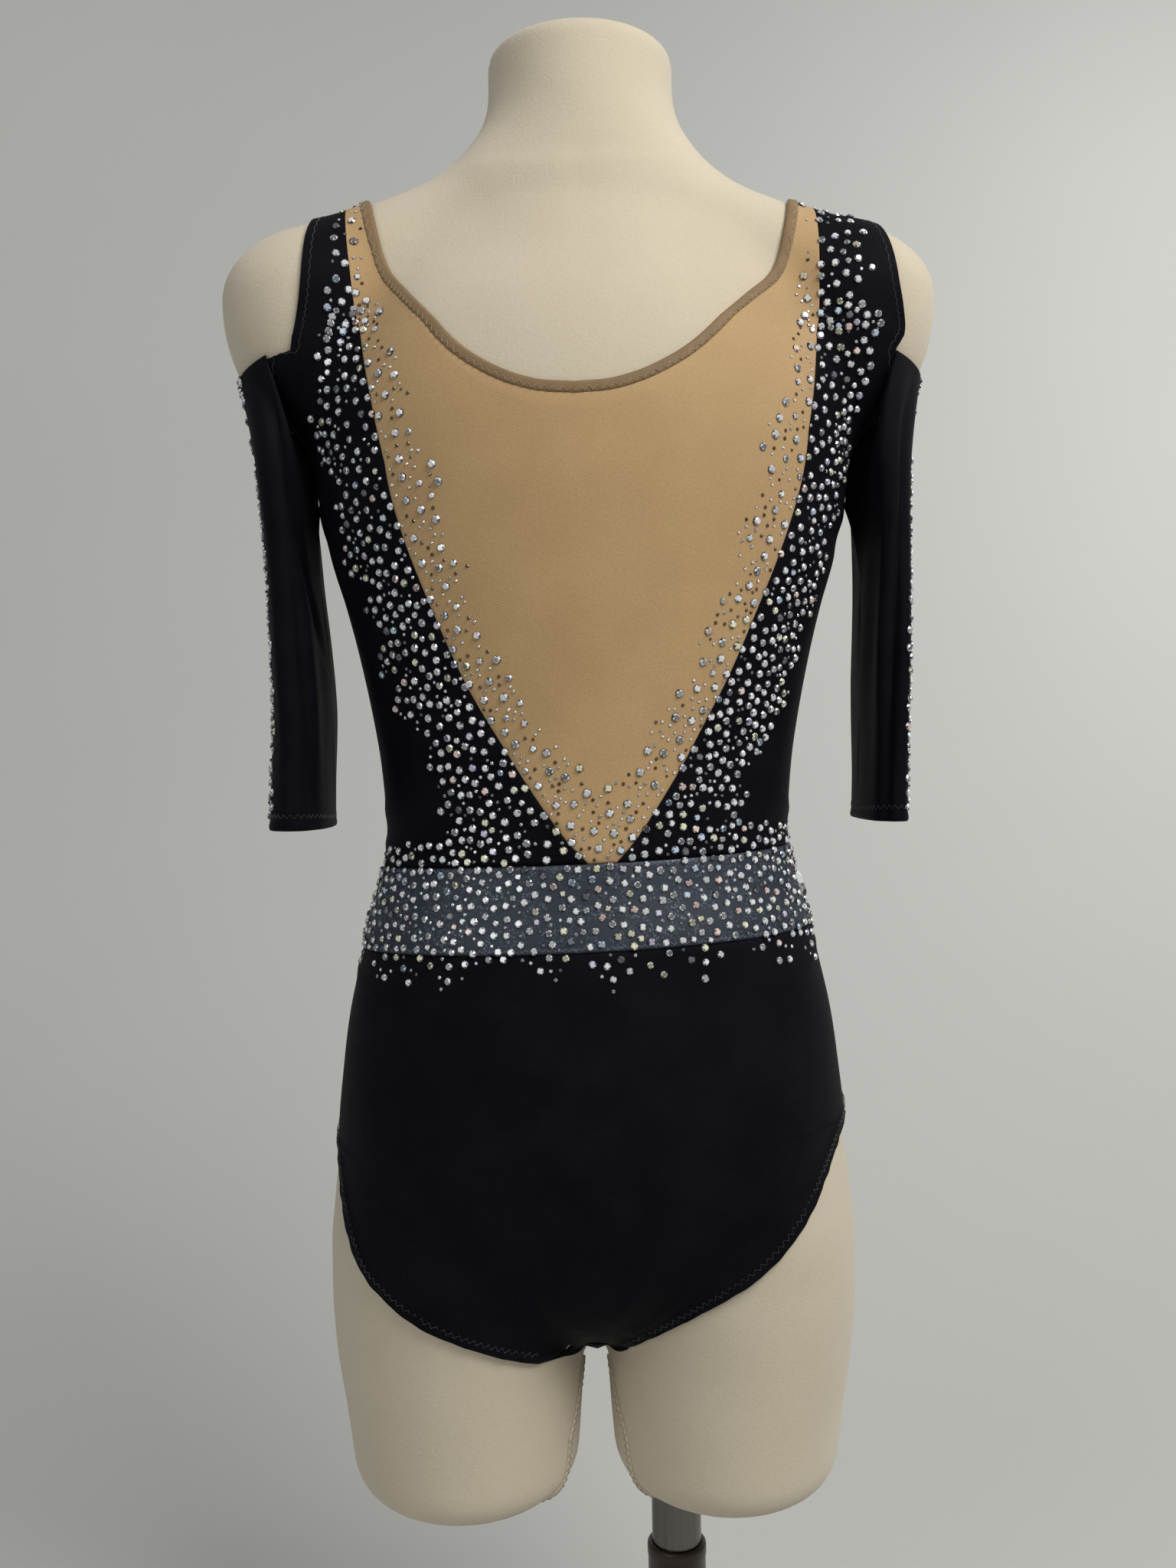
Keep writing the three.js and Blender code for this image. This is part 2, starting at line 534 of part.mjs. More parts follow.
// The form: rings of the trunk joined to rings of each thigh, with a bore for the rod
const THIGH_INSET = 1.3;        // keeps the form's flat facets inside the cloth
const INSET = table('up trunk', [[26, 1.4], [60, 0.9], [508, 0.9], [534, 2.7], [590, 2.0], [608, 1.0]]);
const FORM_FAN = table('up flat radius', [
  [20, 70, 70], [120, 60, 85], [250, 50, 70], [400, 60, 75], [480, 95, 55], [545, 150, 45], [575, 165, 40],
  [600, 158, 40], [620, 135, 40], [634, 105, 40], [645, 70, 45], [660, 25, 50], [690, 0, 55], [733, 0, 55],
]);
const FORM_STEPS = { trunk: 48, thigh: 26 };
const insetBody = (x, y, z) => field(x, y, z) + INSET.trunk(z);

// A ring at one height: straight lines back and front from a flat middle, fanned at both sides
function trunkRing(up) {
  const flat = FORM_FAN.flat(up);
  const radius = FORM_FAN.radius(up);
  const quarter = flat + radius * Math.PI / 2;
  const centreX = up > 650 ? NECK.x : 0;
  return spread(-2 * quarter, 2 * quarter, FORM_STEPS.trunk).slice(0, -1).map((along) => {
    const face = Math.abs(along) <= quarter ? BACK : FRONT;
    const across = face === BACK ? along : Math.sign(along) * (2 * quarter - Math.abs(along));
    const side = Math.sign(across);
    const fan = Math.max(Math.abs(across) - flat, 0) / radius;
    const origin = new THREE.Vector3(centreX + side * Math.min(Math.abs(across), flat), 0, up);
    const direction = new THREE.Vector3(side * Math.sin(fan), face * Math.cos(fan), 0);
    return leave(origin, direction, insetBody);
  });
}
function thighRing(side, up) {
  const origin = new THREE.Vector3(side * THIGH.centre(up), 0, up);
  const shape = (x, y, z) => thighField(side * x, y, z) + THIGH_INSET;
  return spread(0, 2 * Math.PI, FORM_STEPS.thigh).slice(0, -1).map((turn) => leave(
    origin, new THREE.Vector3(Math.sin(turn), -Math.cos(turn), 0), shape, 100,
  ));
}
// A closed body through rings of points, with a middle point at each end
function ringBody(all) {
  const count = all[0].length;
  const points = all.flat();
  const middle = (ring) => ring.reduce((sum, p) => sum.add(p), new THREE.Vector3()).divideScalar(count);
  const low = points.push(middle(all[0])) - 1;
  const high = points.push(middle(all[all.length - 1])) - 1;
  const faces = [];
  for (let i = 0; i < all.length; i += 1) {
    for (let j = 0; j < count; j += 1) {
      const [a, b] = [i * count + j, i * count + (j + 1) % count];
      if (i === 0) faces.push([low, b, a]);
      if (i === all.length - 1) faces.push([high, a, b]);
      else faces.push([a, b, b + count], [a, b + count, a + count]);
    }
  }
  return closedMesh('', points, faces, jersey);
}
function toSolid(source) {
  const bare = source.geometry.clone().applyMatrix4(source.matrixWorld);
  bare.deleteAttribute('normal');
  bare.deleteAttribute('uv');
  const merged = mergeVertices(bare, 1e-3);
  return new wasm.Manifold(new wasm.Mesh({
    numProp: 3,
    vertProperties: new Float32Array(merged.attributes.position.array),
    triVerts: new Uint32Array(merged.index.array),
  }));
}
function toMesh(name, solid, material) {
  const { vertProperties, triVerts } = solid.getMesh();
  const geometry = new THREE.BufferGeometry();
  geometry.setAttribute('position', new THREE.BufferAttribute(vertProperties, 3));
  geometry.setIndex(new THREE.BufferAttribute(triVerts, 1));
  geometry.computeVertexNormals();
  const result = new THREE.Mesh(geometry, material);
  result.name = name;
  return result;
}

const BORE_DEEP = 70;           // the rod's socket in the thigh
const BORE_PAST = 20;           // the cutting cylinder starts this far below the thigh's end
const ROD_SLACK = 0.3;          // all round the rod, and at its end
function dressForm() {
  const trunkUps = [
    ...spread(26, 122, 6), ...spread(138, 218, 5), ...spread(234, 314, 5), ...spread(336, 476, 6),
    ...spread(494, 590, 7), ...spread(601, 643, 6), 650, 660, 675, 694, 711, 723, 729, 732,
  ];
  const trunk = ringBody(trunkUps.map(trunkRing));
  const thighUps = [-86, -84, -81, -76, -66, -50, -30, -8, 12, 28, 40];
  const thighs = [-1, 1].map((side) => ringBody(thighUps.map((up) => thighRing(side, up))));
  const boreRadius = ROD_RADIUS + ROD_SLACK;
  const boreLength = BORE_DEEP + BORE_PAST;
  const bore = new THREE.Mesh(new THREE.CylinderGeometry(boreRadius, boreRadius, boreLength, 28));
  bore.rotation.x = Math.PI / 2;
  bore.position.set(ROD_X, 0, THIGH_LOW - BORE_PAST + boreLength / 2);
  bore.updateMatrixWorld();
  const solid = toSolid(trunk).add(toSolid(thighs[0])).add(toSolid(thighs[1])).subtract(toSolid(bore));
  return toMesh('dress_form', solid, jersey);
}

// Stand: a steel rod in a dark tube with a turned rim, on a round plate
const PLATE = { radius: 135, thick: 10, edge: 2.5 };
const TUBE = { radius: 16.8, inner: ROD_RADIUS + ROD_SLACK, rimRadius: 17.2, rim: 8 };
const FLANGE = { out: 6, thick: 3, slope: 6 };
const ROD_IN_TUBE = 90;
function lathe(name, profile, sides, material, x) {
  const points = profile.map(([r, z]) => new THREE.Vector2(r, z));
  const result = new THREE.Mesh(new THREE.LatheGeometry(points, sides), material);
  result.rotation.x = Math.PI / 2;
  result.position.x = x;
  result.name = name;
  return result;
}
function stand() {
  const collar = CROTCH_UP - COLLAR_DROP;
  const { radius, thick, edge } = PLATE;
  const plate = lathe('base_plate', [
    [0, 0], [radius - edge, 0], [radius, edge], [radius, thick - edge], [radius - edge, thick], [0, thick],
  ], 40, bronze, ROD_X);
  const low = thick + ROD_SLACK;
  const flange = TUBE.radius + FLANGE.out;
  const tube = lathe('stand_tube', [
    [TUBE.inner, low], [flange, low], [flange, low + FLANGE.thick], [TUBE.radius, low + FLANGE.slope],
    [TUBE.radius, collar - TUBE.rim], [TUBE.rimRadius, collar - TUBE.rim + 1], [TUBE.rimRadius, collar - 2],
    [TUBE.rimRadius - 1.6, collar], [TUBE.inner, collar], [TUBE.inner, low],
  ], 28, bronze, ROD_X);
  const rodLow = collar - ROD_IN_TUBE;
  const rodHigh = CROTCH_UP + THIGH_LOW + BORE_DEEP - ROD_SLACK;
  const rod = lathe('stand_rod', [
    [0, rodLow], [ROD_RADIUS - 1, rodLow], [ROD_RADIUS, rodLow + 1], [ROD_RADIUS, rodHigh - 1],
    [ROD_RADIUS - 1, rodHigh], [0, rodHigh],
  ], 28, steel, ROD_X);
  return [plate, tube, rod];
}

const leotard = new THREE.Group();
leotard.add(
  backInsert(), backSide('back_side_left', -1), backSide('back_side_right', 1), frontBodice(),
  neckBinding(), beltRing(), briefsBack(), briefsFront(), gusset(),
  sleeve('sleeve_left', -1), sleeve('sleeve_right', 1),
);
const raised = new THREE.Group();
raised.position.z = CROTCH_UP;
raised.add(leotard, dressForm());

const group = new THREE.Group();
group.add(raised, ...stand());
export default group;
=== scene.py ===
# %% [markdown]
# A rhythmic gymnastics leotard on a limbless dress form
#
# The garment is a black stretch leotard with a tan net insert in a long V down the back, a shiny
# belt let in at the waist, half sleeves that hang from an open shoulder, and thousands of glued
# glass stones. A cream form with a jersey cover holds it out. This lesson makes each piece the way
# the workroom would: first the form, then cloth laid on the form, then thread, then stones.

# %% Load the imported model
import math

import bpy
import numpy as np
from mathutils import Matrix, Vector


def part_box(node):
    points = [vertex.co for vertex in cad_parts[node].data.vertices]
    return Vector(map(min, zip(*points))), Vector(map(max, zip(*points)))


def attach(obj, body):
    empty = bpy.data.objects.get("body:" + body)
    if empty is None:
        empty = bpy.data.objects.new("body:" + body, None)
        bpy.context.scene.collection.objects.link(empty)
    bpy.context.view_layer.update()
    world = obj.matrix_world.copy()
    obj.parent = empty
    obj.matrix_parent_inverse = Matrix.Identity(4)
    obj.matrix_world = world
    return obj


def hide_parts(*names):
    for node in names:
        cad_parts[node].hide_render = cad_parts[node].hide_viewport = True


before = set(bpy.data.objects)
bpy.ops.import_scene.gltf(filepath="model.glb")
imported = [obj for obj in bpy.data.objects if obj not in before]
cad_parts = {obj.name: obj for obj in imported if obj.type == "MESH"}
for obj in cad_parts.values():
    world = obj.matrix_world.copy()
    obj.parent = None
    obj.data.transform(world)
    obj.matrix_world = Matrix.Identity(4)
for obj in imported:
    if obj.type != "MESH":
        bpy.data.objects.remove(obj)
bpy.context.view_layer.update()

# %% [markdown]
# The camera
#
# The photograph was taken from close by, a little above the waist. The lens is worked out from the
# stand's tube, whose rim shows as an ellipse. The form is turned a little away from the camera,
# so here the camera stands round to one side by as much, and it is tipped by under a degree.

# %% Camera
MM = 0.001
IMAGE_TALL = 2048
LENS_PIXELS = 1900
AXIS_PIXELS_LEFT = 1
HORIZON_PIXELS_UP = 54
SENSOR = 36.0
NEAREST_SEEN = 0.02
CAMERA_AWAY = 0.840
CAMERA_UP = 0.659
CAMERA_ROUND = math.radians(-1.5)
AXIS_LEFT_OF_CENTRE = math.atan(AXIS_PIXELS_LEFT / LENS_PIXELS)
LOOKS_DOWN = math.atan(HORIZON_PIXELS_UP / LENS_PIXELS)
CAMERA_TIPPED = math.radians(-0.85)

camera_data = bpy.data.cameras.new("camera")
camera_data.sensor_fit = "AUTO"
camera_data.sensor_width = SENSOR
camera_data.lens = SENSOR * LENS_PIXELS / IMAGE_TALL
camera_data.clip_start = NEAREST_SEEN
camera = bpy.data.objects.new("camera", camera_data)
bpy.context.scene.collection.objects.link(camera)
camera.matrix_world = (
    Matrix.Rotation(CAMERA_ROUND, 4, "Z")
    @ Matrix.Translation((0, -CAMERA_AWAY, CAMERA_UP))
    @ Matrix.Rotation(-AXIS_LEFT_OF_CENTRE, 4, "Z")
    @ Matrix.Rotation(math.pi / 2 - LOOKS_DOWN, 4, "X")
    @ Matrix.Rotation(CAMERA_TIPPED, 4, "Z")
)
bpy.context.scene.camera = camera
print("lens", round(camera_data.lens, 2), "mm")

# %% [markdown]
# Short tables, read smoothly
#
# A pattern cutter writes a body down as a few measures at a few heights. The curve between them is
# drawn by eye, which a Hermite spline does as well. Heights are in millimetres above the crotch.

# %% Tables
CROTCH_UP = 320
TABLE_STEPS = 1500


def table(columns, rows):
    """Named columns of a short table, each a function that reads it smoothly."""
    rows = np.array(rows, float)
    key = rows[:, 0]
    fine = np.linspace(key[0], key[-1], TABLE_STEPS)
    i = np.clip(np.searchsorted(key, fine, side="right") - 1, 0, len(key) - 2)
    step = key[i + 1] - key[i]
    t = (fine - key[i]) / step
    read = {}
    for name, value in zip(columns.split()[1:], rows[:, 1:].T):
        slope = np.empty_like(value)
        slope[1:-1] = (value[2:] - value[:-2]) / (key[2:] - key[:-2])
        slope[0] = (value[1] - value[0]) / (key[1] - key[0])
        slope[-1] = (value[-1] - value[-2]) / (key[-1] - key[-2])
        curve = (2 * t**3 - 3 * t**2 + 1) * value[i] + (t**3 - 2 * t**2 + t) * step * slope[i]
        curve += (3 * t**2 - 2 * t**3) * value[i + 1] + (t**3 - t**2) * step * slope[i + 1]
        read[name] = lambda at, curve=curve: np.interp(at, fine, curve)
    return read


TRUNK = table("up half back front", [
    [-4, 10, 10, 8], [12, 66, 50, 44], [40, 112, 84, 68], [80, 141, 103, 82], [115, 144, 105, 86],
    [160, 140, 97, 86], [188, 136, 90, 85], [215, 130, 84, 83], [240, 124.5, 79, 81],
    [262, 117.5, 75, 80], [284, 113.5, 73.5, 79.5], [306, 114, 73.5, 80], [340, 117.5, 76, 83],
    [392, 127.5, 83.5, 91], [451, 142.5, 92, 103], [485, 149, 96, 107], [530, 149, 96, 100],
    [575, 130, 85, 78], [610, 100, 62, 58], [635, 60, 40, 40],
])
TRUNK_LOW = -4
TRUNK_HIGH = 635
THIGH = table("up centre half depth", [
    [-90, 75, 63, 71], [-40, 76, 68, 77], [0, 78, 71.5, 82], [40, 78, 73, 88],
    [80, 75, 73, 92], [125, 66, 62, 78], [160, 55, 40, 50],
])
THIGH_LOW = -87
THIGH_HIGH = 160
NECK = {"x": 2, "y": 2, "lean": 0.1, "root": 650, "half": 53, "depth": 56, "low": 560, "top": 733}
CAP = {"x": 152, "y": -4, "up": 588, "wide": 50, "deep": 46, "above": 40, "below": 72}
SLOPE = {"inner_x": 50, "inner_up": 631, "inner_r": 34, "outer_x": 146, "outer_up": 593, "outer_r": 36}
MELT = {"slope": 12, "neck": 48, "upper": 26, "thigh": 14, "thigh_end": 22, "neck_end": 10}
SHOULDER_AXIS_Y = -6
waist_wide, hips_wide = [round(2 * float(TRUNK["half"](up))) for up in (284, 115)]
print("waist", waist_wide, "mm wide, hips", hips_wide, "mm")

# %% [markdown]
# The body as one smooth rule
#
# A display form has no hard lines: neck, shoulder caps, trunk and thighs melt into each other.
# Each part is a rule that says how far a point is outside it, and a soft minimum joins the rules.
# The same rule then carries the cloth, so nothing on the form has to be fitted by hand.

# %% The form's rule


def melt(a, b, over):
    """The smaller of two distances, rounded where they are nearly the same."""
    share = np.clip(0.5 + 0.5 * (b - a) / over, 0, 1)
    return b * (1 - share) + a * share - over * share * (1 - share)


def outside_oval(dx, dy, half, depth):
    """Distance outside an upright tube with an oval section."""
    q = np.maximum(np.hypot(dx / half, dy / depth), 1e-6)
    return np.hypot(dx, dy) * (1 - 1 / q)


def outside_egg(dx, dy, dz, rx, ry, rz):
    """Distance outside an egg with three radii."""
    q = np.maximum(np.sqrt((dx / rx) ** 2 + (dy / ry) ** 2 + (dz / rz) ** 2), 1e-6)
    return np.sqrt(dx**2 + dy**2 + dz**2) * (1 - 1 / q)


def thigh_rule(x, y, z):
    """Distance outside the right thigh with its rounded end."""
    side = outside_oval(x - THIGH["centre"](z), y, THIGH["half"](z), THIGH["depth"](z))
    return -melt(-np.maximum(side, z - THIGH_HIGH), -(THIGH_LOW - z), MELT["thigh_end"])


def body_rule(p):
    """How far each point of an array is outside the form, in millimetres."""
    x, y, z = p[..., 0], p[..., 1], p[..., 2]
    ax = np.abs(x)
    depth = np.where(y < 0, TRUNK["back"](z), TRUNK["front"](z))
    trunk = outside_oval(x, y, TRUNK["half"](z), depth)
    trunk = np.maximum(trunk, np.maximum(z - TRUNK_HIGH, TRUNK_LOW - z))
    neck_y = NECK["y"] + NECK["lean"] * (z - NECK["root"])
    neck = outside_oval(x - NECK["x"], y - neck_y, NECK["half"], NECK["depth"])
    neck = -melt(-np.maximum(neck, NECK["low"] - z), -(z - NECK["top"]), MELT["neck_end"])
    dz = z - CAP["up"]
    cap = outside_egg(ax - CAP["x"], y - CAP["y"], dz, CAP["wide"], CAP["deep"],
                      np.where(dz > 0, CAP["above"], CAP["below"]))
    run = SLOPE["outer_x"] - SLOPE["inner_x"]
    rise = SLOPE["outer_up"] - SLOPE["inner_up"]
    along = ((ax - SLOPE["inner_x"]) * run + (z - SLOPE["inner_up"]) * rise) / (run**2 + rise**2)
    t = np.clip(along, 0, 1)
    slope = np.sqrt(
        (ax - SLOPE["inner_x"] - t * run) ** 2
        + (y - SHOULDER_AXIS_Y) ** 2
        + (z - SLOPE["inner_up"] - t * rise) ** 2
    ) - (SLOPE["inner_r"] + t * (SLOPE["outer_r"] - SLOPE["inner_r"]))
    upper = melt(melt(slope, cap, MELT["slope"]), neck, MELT["neck"])
    return melt(melt(trunk, upper, MELT["upper"]), thigh_rule(ax, y, z), MELT["thigh"])


def one_thigh(side):
    """The rule of one thigh alone, for points of an array."""
    return lambda p: thigh_rule(side * p[..., 0], p[..., 1], p[..., 2])


def normals(p):
    """Outward direction of the skin at each point."""
    step = 1.0
    slope = [body_rule(p + step * axis) - body_rule(p - step * axis) for axis in np.eye(3)]
    n = np.stack(slope, -1)
    return n / np.linalg.norm(n, axis=-1, keepdims=True)


STRIDE = 5.0
HALVINGS = 12


def leave(origin, direction, rule=body_rule, far=260.0):
    """Where each line from inside the form leaves it for the last time."""
    origin = np.asarray(origin, float)
    direction = np.asarray(direction, float)
    reach = np.arange(0, far, STRIDE)
    inside = rule(origin[..., None, :] + reach[:, None] * direction[..., None, :]) < 0
    last = len(reach) - 1 - np.argmax(inside[..., ::-1], axis=-1)
    low = reach[last]
    high = low + STRIDE
    for _ in range(HALVINGS):
        middle = (low + high) / 2
        within = rule(origin + middle[..., None] * direction) < 0
        low = np.where(within, middle, low)
        high = np.where(within, high, middle)
    return origin + low[..., None] * direction


print("rule at the waist's side:", round(float(body_rule(np.array([113.5, 0.0, 284.0]))), 2), "mm")

# %% [markdown]
# Places on the skin
#
# Every cut line of the garment is a pair of numbers: how far across from the middle and how far
# up. Up to the flat stretch the lines run straight back, then they fan out to the side, and above
# the shoulder blades they roll over the shoulder. That is close to how a tape measure lies.

# %% Places on the skin
SHOULDER_UP = 560
SHOULDER_SPAN = 91
ROLL_START = 0.0111
ROLL_GROWTH = (math.pi / 2 / SHOULDER_SPAN - ROLL_START) / SHOULDER_SPAN
RIDGE = SHOULDER_UP + SHOULDER_SPAN
BACK = -1
FRONT = 1
FAN = table("up flat radius", [
    [0, 60, 80], [120, 60, 85], [250, 50, 70], [400, 60, 75], [480, 100, 55], [545, 155, 40],
    [560, 172, 40],
])
# The leotard sits a little higher on the wearer's right round the waist.
TILT = table("up rise", [[110, 0], [200, 0.03], [310, 0.03], [430, 0]])["rise"]


def side_seam(up):
    """Half the way round the form at a height, from the middle to the side seam."""
    return FAN["flat"](up) + FAN["radius"](up) * math.pi / 2


def skin(face, across, up):
    """Points and outward directions on the form's skin, for arrays of places."""
    across, up = np.broadcast_arrays(np.asarray(across, float), np.asarray(up, float))
    level = np.minimum(up, SHOULDER_UP)
    past = np.maximum(up - SHOULDER_UP, 0)
    roll = past * (ROLL_START + ROLL_GROWTH * past)
    flat = FAN["flat"](level)
    side = np.sign(across)
    fan = np.maximum(np.abs(across) - flat, 0) / FAN["radius"](level)
    start_y = np.where(roll > 0, SHOULDER_AXIS_Y, 0.0)
    start_up = level + TILT(level) * across
    origin = np.stack([side * np.minimum(np.abs(across), flat), start_y, start_up], -1)
    direction = np.stack([
        side * np.sin(fan) * np.cos(roll), face * np.cos(fan) * np.cos(roll), np.sin(roll),
    ], -1)
    p = leave(origin, direction)
    return p, normals(p)


def across_at(face, x, up):
    """The place across whose point on the skin has this x."""
    x, up = np.broadcast_arrays(np.asarray(x, float), np.asarray(up, float))
    low = np.zeros_like(x)
    high = side_seam(up)
    for _ in range(HALVINGS):
        middle = (low + high) / 2
        short = skin(face, middle, up)[0][..., 0] < np.abs(x)
        low = np.where(short, middle, low)
        high = np.where(short, high, middle)
    return np.sign(x) * (low + high) / 2


print("from the middle to the side seam at the waist:", round(float(side_seam(275.0)), 1), "mm")

# %% [markdown]
# Meshes from grids
#
# Cloth on a form is a wall between two offsets from the skin. One helper closes such a wall round
# all its edges, and turns it the right way out by its own volume. The UV map holds the place
# across and up in metres, so that a knit drawn on it keeps its real size.

# %% Mesh helpers


def raised(p):
    """Millimetres above the crotch to metres above the floor."""
    return (np.asarray(p, float) + (0, 0, CROTCH_UP)) * MM


def link(name, mesh):
    piece = bpy.data.objects.new(name, mesh)
    bpy.context.scene.collection.objects.link(piece)
    return piece


def solid(name, points, faces, uv=None, smooth=True):
    """A piece from points in metres and faces, turned out if it is inside out."""
    points = np.asarray(points, float)
    corner = [points[faces[:, k]] for k in range(faces.shape[1])]
    volume = 0.0
    for k in range(1, faces.shape[1] - 1):
        volume += np.einsum("ij,ij->i", corner[0], np.cross(corner[k], corner[k + 1])).sum()
    if volume < 0:
        faces = faces[:, ::-1]
    mesh = bpy.data.meshes.new(name)
    mesh.from_pydata(points.tolist(), [], faces.tolist())
    if uv is not None:
        layer = mesh.uv_layers.new(name="cut")
        corners = np.empty(len(mesh.loops), int)
        mesh.loops.foreach_get("vertex_index", corners)
        layer.data.foreach_set("uv", np.asarray(uv, float)[corners].ravel())
    if smooth:
        mesh.shade_smooth()
    return link(name, mesh)


def wall(name, place, normal, low, high, uv, around=False):
    """A closed wall between two offsets from a grid of places."""
    rows, columns = place.shape[:2]
    low = np.broadcast_to(low, (rows, columns))
    high = np.broadcast_to(high, (rows, columns))
    outer = raised(place + normal * high[..., None]).reshape(-1, 3)
    inner = raised(place + normal * low[..., None]).reshape(-1, 3)
    index = np.arange(rows * columns).reshape(rows, columns)
    if around:
        index = np.concatenate([index, index[:, :1]], axis=1)
    under = index + rows * columns

    def strip(a, b, c, d):
        return np.stack([a.ravel(), b.ravel(), c.ravel(), d.ravel()], -1)

    faces = [
        strip(index[:-1, :-1], index[:-1, 1:], index[1:, 1:], index[1:, :-1]),
        strip(under[:-1, :-1], under[1:, :-1], under[1:, 1:], under[:-1, 1:]),
        strip(under[0, :-1], under[0, 1:], index[0, 1:], index[0, :-1]),
        strip(index[-1, :-1], index[-1, 1:], under[-1, 1:], under[-1, :-1]),
    ]
    if not around:
        faces.append(strip(under[:-1, 0], index[:-1, 0], index[1:, 0], under[1:, 0]))
        faces.append(strip(index[:-1, -1], under[:-1, -1], under[1:, -1], index[1:, -1]))
    flat = np.asarray(uv, float).reshape(-1, 2)
    points = np.concatenate([outer, inner])
    return solid(name, points, np.concatenate(faces), np.concatenate([flat, flat]))


def spaced(count, rim=0.0):
    """Shares from 0 to 1, with one more close to each end where the edge is rounded."""
    even = np.linspace(0, 1, count + 1)
    if rim <= 0:
        return even
    return np.concatenate([[0, rim], even[1:-1], [1 - rim, 1]])


RIM_SHARE = 0.6


def rim_thin(shape, sides=True):
    """Thickness shares of a wall, less at its edges so that they look folded."""
    share = np.ones(shape)
    share[[0, -1], :] = RIM_SHARE
    if sides:
        share[:, [0, -1]] = RIM_SHARE
    return share


print("an edge is", RIM_SHARE * 100, "per cent as thick as its panel")

# %% [markdown]
# What each piece stands for
#
# Every finished piece gets its material, rides on the one body, and names the solid that it takes
# the place of, if there is one. A single helper keeps those lines together, so none is forgotten.

# %% Dressing a piece


def dressed(piece, finish, *nodes):
    """Gives a piece its finish and its body, and hides the solids that it stands for."""
    piece.data.materials.clear()
    piece.data.materials.append(finish.material)
    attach(piece, "root")
    if nodes:
        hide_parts(*nodes)
    return piece


# %% [markdown]
# Shader sums as plain expressions
#
# A finish is mostly small sums on sockets. Wrapping a socket in a class with its own operators
# lets the sum be written as it is thought, and one method adds every other node.

# %% Shader helpers


class Thread:
    """One output socket, pulled through sums like a number."""

    def __init__(self, finish, socket):
        self.finish = finish
        self.socket = socket

    def sum(self, operation, *values):
        return self.finish.node("ShaderNodeMath", {"operation": operation}, dict(enumerate(values)))

    def __add__(self, other):
        return self.sum("ADD", self, other)

    def __mul__(self, other):
        return self.sum("MULTIPLY", self, other)

    def __rsub__(self, other):
        return self.sum("SUBTRACT", other, self)

    __radd__ = __add__
    __rmul__ = __mul__

    def wave(self):
        return self.sum("SINE", self)

    def clear(self, low, high):
        """0 below low, 1 above high, smooth between."""
        settings = {"interpolation_type": "SMOOTHSTEP"}
        values = {"Value": self, "From Min": low, "From Max": high}
        return self.finish.node("ShaderNodeMapRange", settings, values)


class Finish:
    """A material with a Principled shader, the nodes that feed it, and the slot it belongs to."""

    def __init__(self, name, slot=None, **fixed):
        self.slot = slot or name
        self.material = bpy.data.materials.new(name)
        self.material.use_nodes = True
        self.tree = self.material.node_tree
        self.shader = self.tree.nodes["Principled BSDF"]
        for socket, value in fixed.items():
            self.shader.inputs[socket.replace("_", " ")].default_value = value

    def node(self, kind, settings=None, values=None, output=0):
        node = self.tree.nodes.new(kind)
        for key, value in (settings or {}).items():
            setattr(node, key, value)
        for key, value in (values or {}).items():
            self.feed(node.inputs[key], value)
        return Thread(self, node.outputs[output])

    def feed(self, socket, value):
        if isinstance(value, Thread):
            self.tree.links.new(value.socket, socket)
        else:
            socket.default_value = value

    def noise(self, at, scale, detail=2.0, rough=0.5):
        return self.node("ShaderNodeTexNoise", None, {
            "Vector": at, "Scale": scale, "Detail": detail, "Roughness": rough,
        })

    def mix(self, share, a, b, blend="MIX"):
        """Between two colours, each a tuple or a socket."""
        a, b = [(*colour, 1) if isinstance(colour, tuple) else colour for colour in (a, b)]
        settings = {"data_type": "RGBA", "blend_type": blend}
        return self.node("ShaderNodeMix", settings, {0: share, 6: a, 7: b}, output=2)

    def cut(self):
        """The place across and up, from the piece's UV map, in metres."""
        uv = self.node("ShaderNodeUVMap", {"uv_map": "cut"})
        parts = self.tree.nodes.new("ShaderNodeSeparateXYZ")
        self.feed(parts.inputs[0], uv)
        return uv, Thread(self, parts.outputs[0]), Thread(self, parts.outputs[1])

    def place(self):
        """The place on the object, in metres."""
        return self.node("ShaderNodeTexCoord", output=3)

    def colour(self, value):
        self.feed(self.shader.inputs["Base Color"], value)

    def rough(self, value):
        self.feed(self.shader.inputs["Roughness"], value)

    def metal(self, value):
        self.feed(self.shader.inputs["Metallic"], value)

    def raise_by(self, height, millimetres):
        values = {"Height": height, "Distance": millimetres * MM, "Strength": 1.0}
        self.feed(self.shader.inputs["Normal"], self.node("ShaderNodeBump", None, values))


TURN = 2 * math.pi
print("shader helpers ready")

# %% [markdown]
# Black stretch cloth
#
# The black is a warp knit with a dull sheen: fine ribs up the piece, and soft blotches whose colour
# is a little lighter, a painted sheen, and whose surface is a little rougher. It is nearly black with
# some blue in it, never pure black.

# %% Black cloth
RIB_WIDE = 0.9 * MM
ROW_TALL = 1.1 * MM
black = Finish("stretch_cloth", Sheen_Weight=0.01, Sheen_Roughness=0.5, Specular_IOR_Level=0.05)
uv, across, up = black.cut()
ribs = (across * (TURN / RIB_WIDE)).wave()
rows = (up * (TURN / ROW_TALL)).wave()
sheen_blotch = black.noise(uv, 28.0, 3.0)
grain = black.noise(uv, 1500.0, 2.0)
# Painted sheen: the blotches make the black's colour a little lighter.
black.colour(black.mix(sheen_blotch.clear(0.3, 0.75), (0.0028, 0.0030, 0.0052), (0.0052, 0.0055, 0.0086)))
black.rough(0.50 + 0.14 * sheen_blotch + 0.05 * grain)
black.raise_by(0.45 * ribs + 0.3 * rows + 0.8 * grain, 0.10)
print("black cloth made")
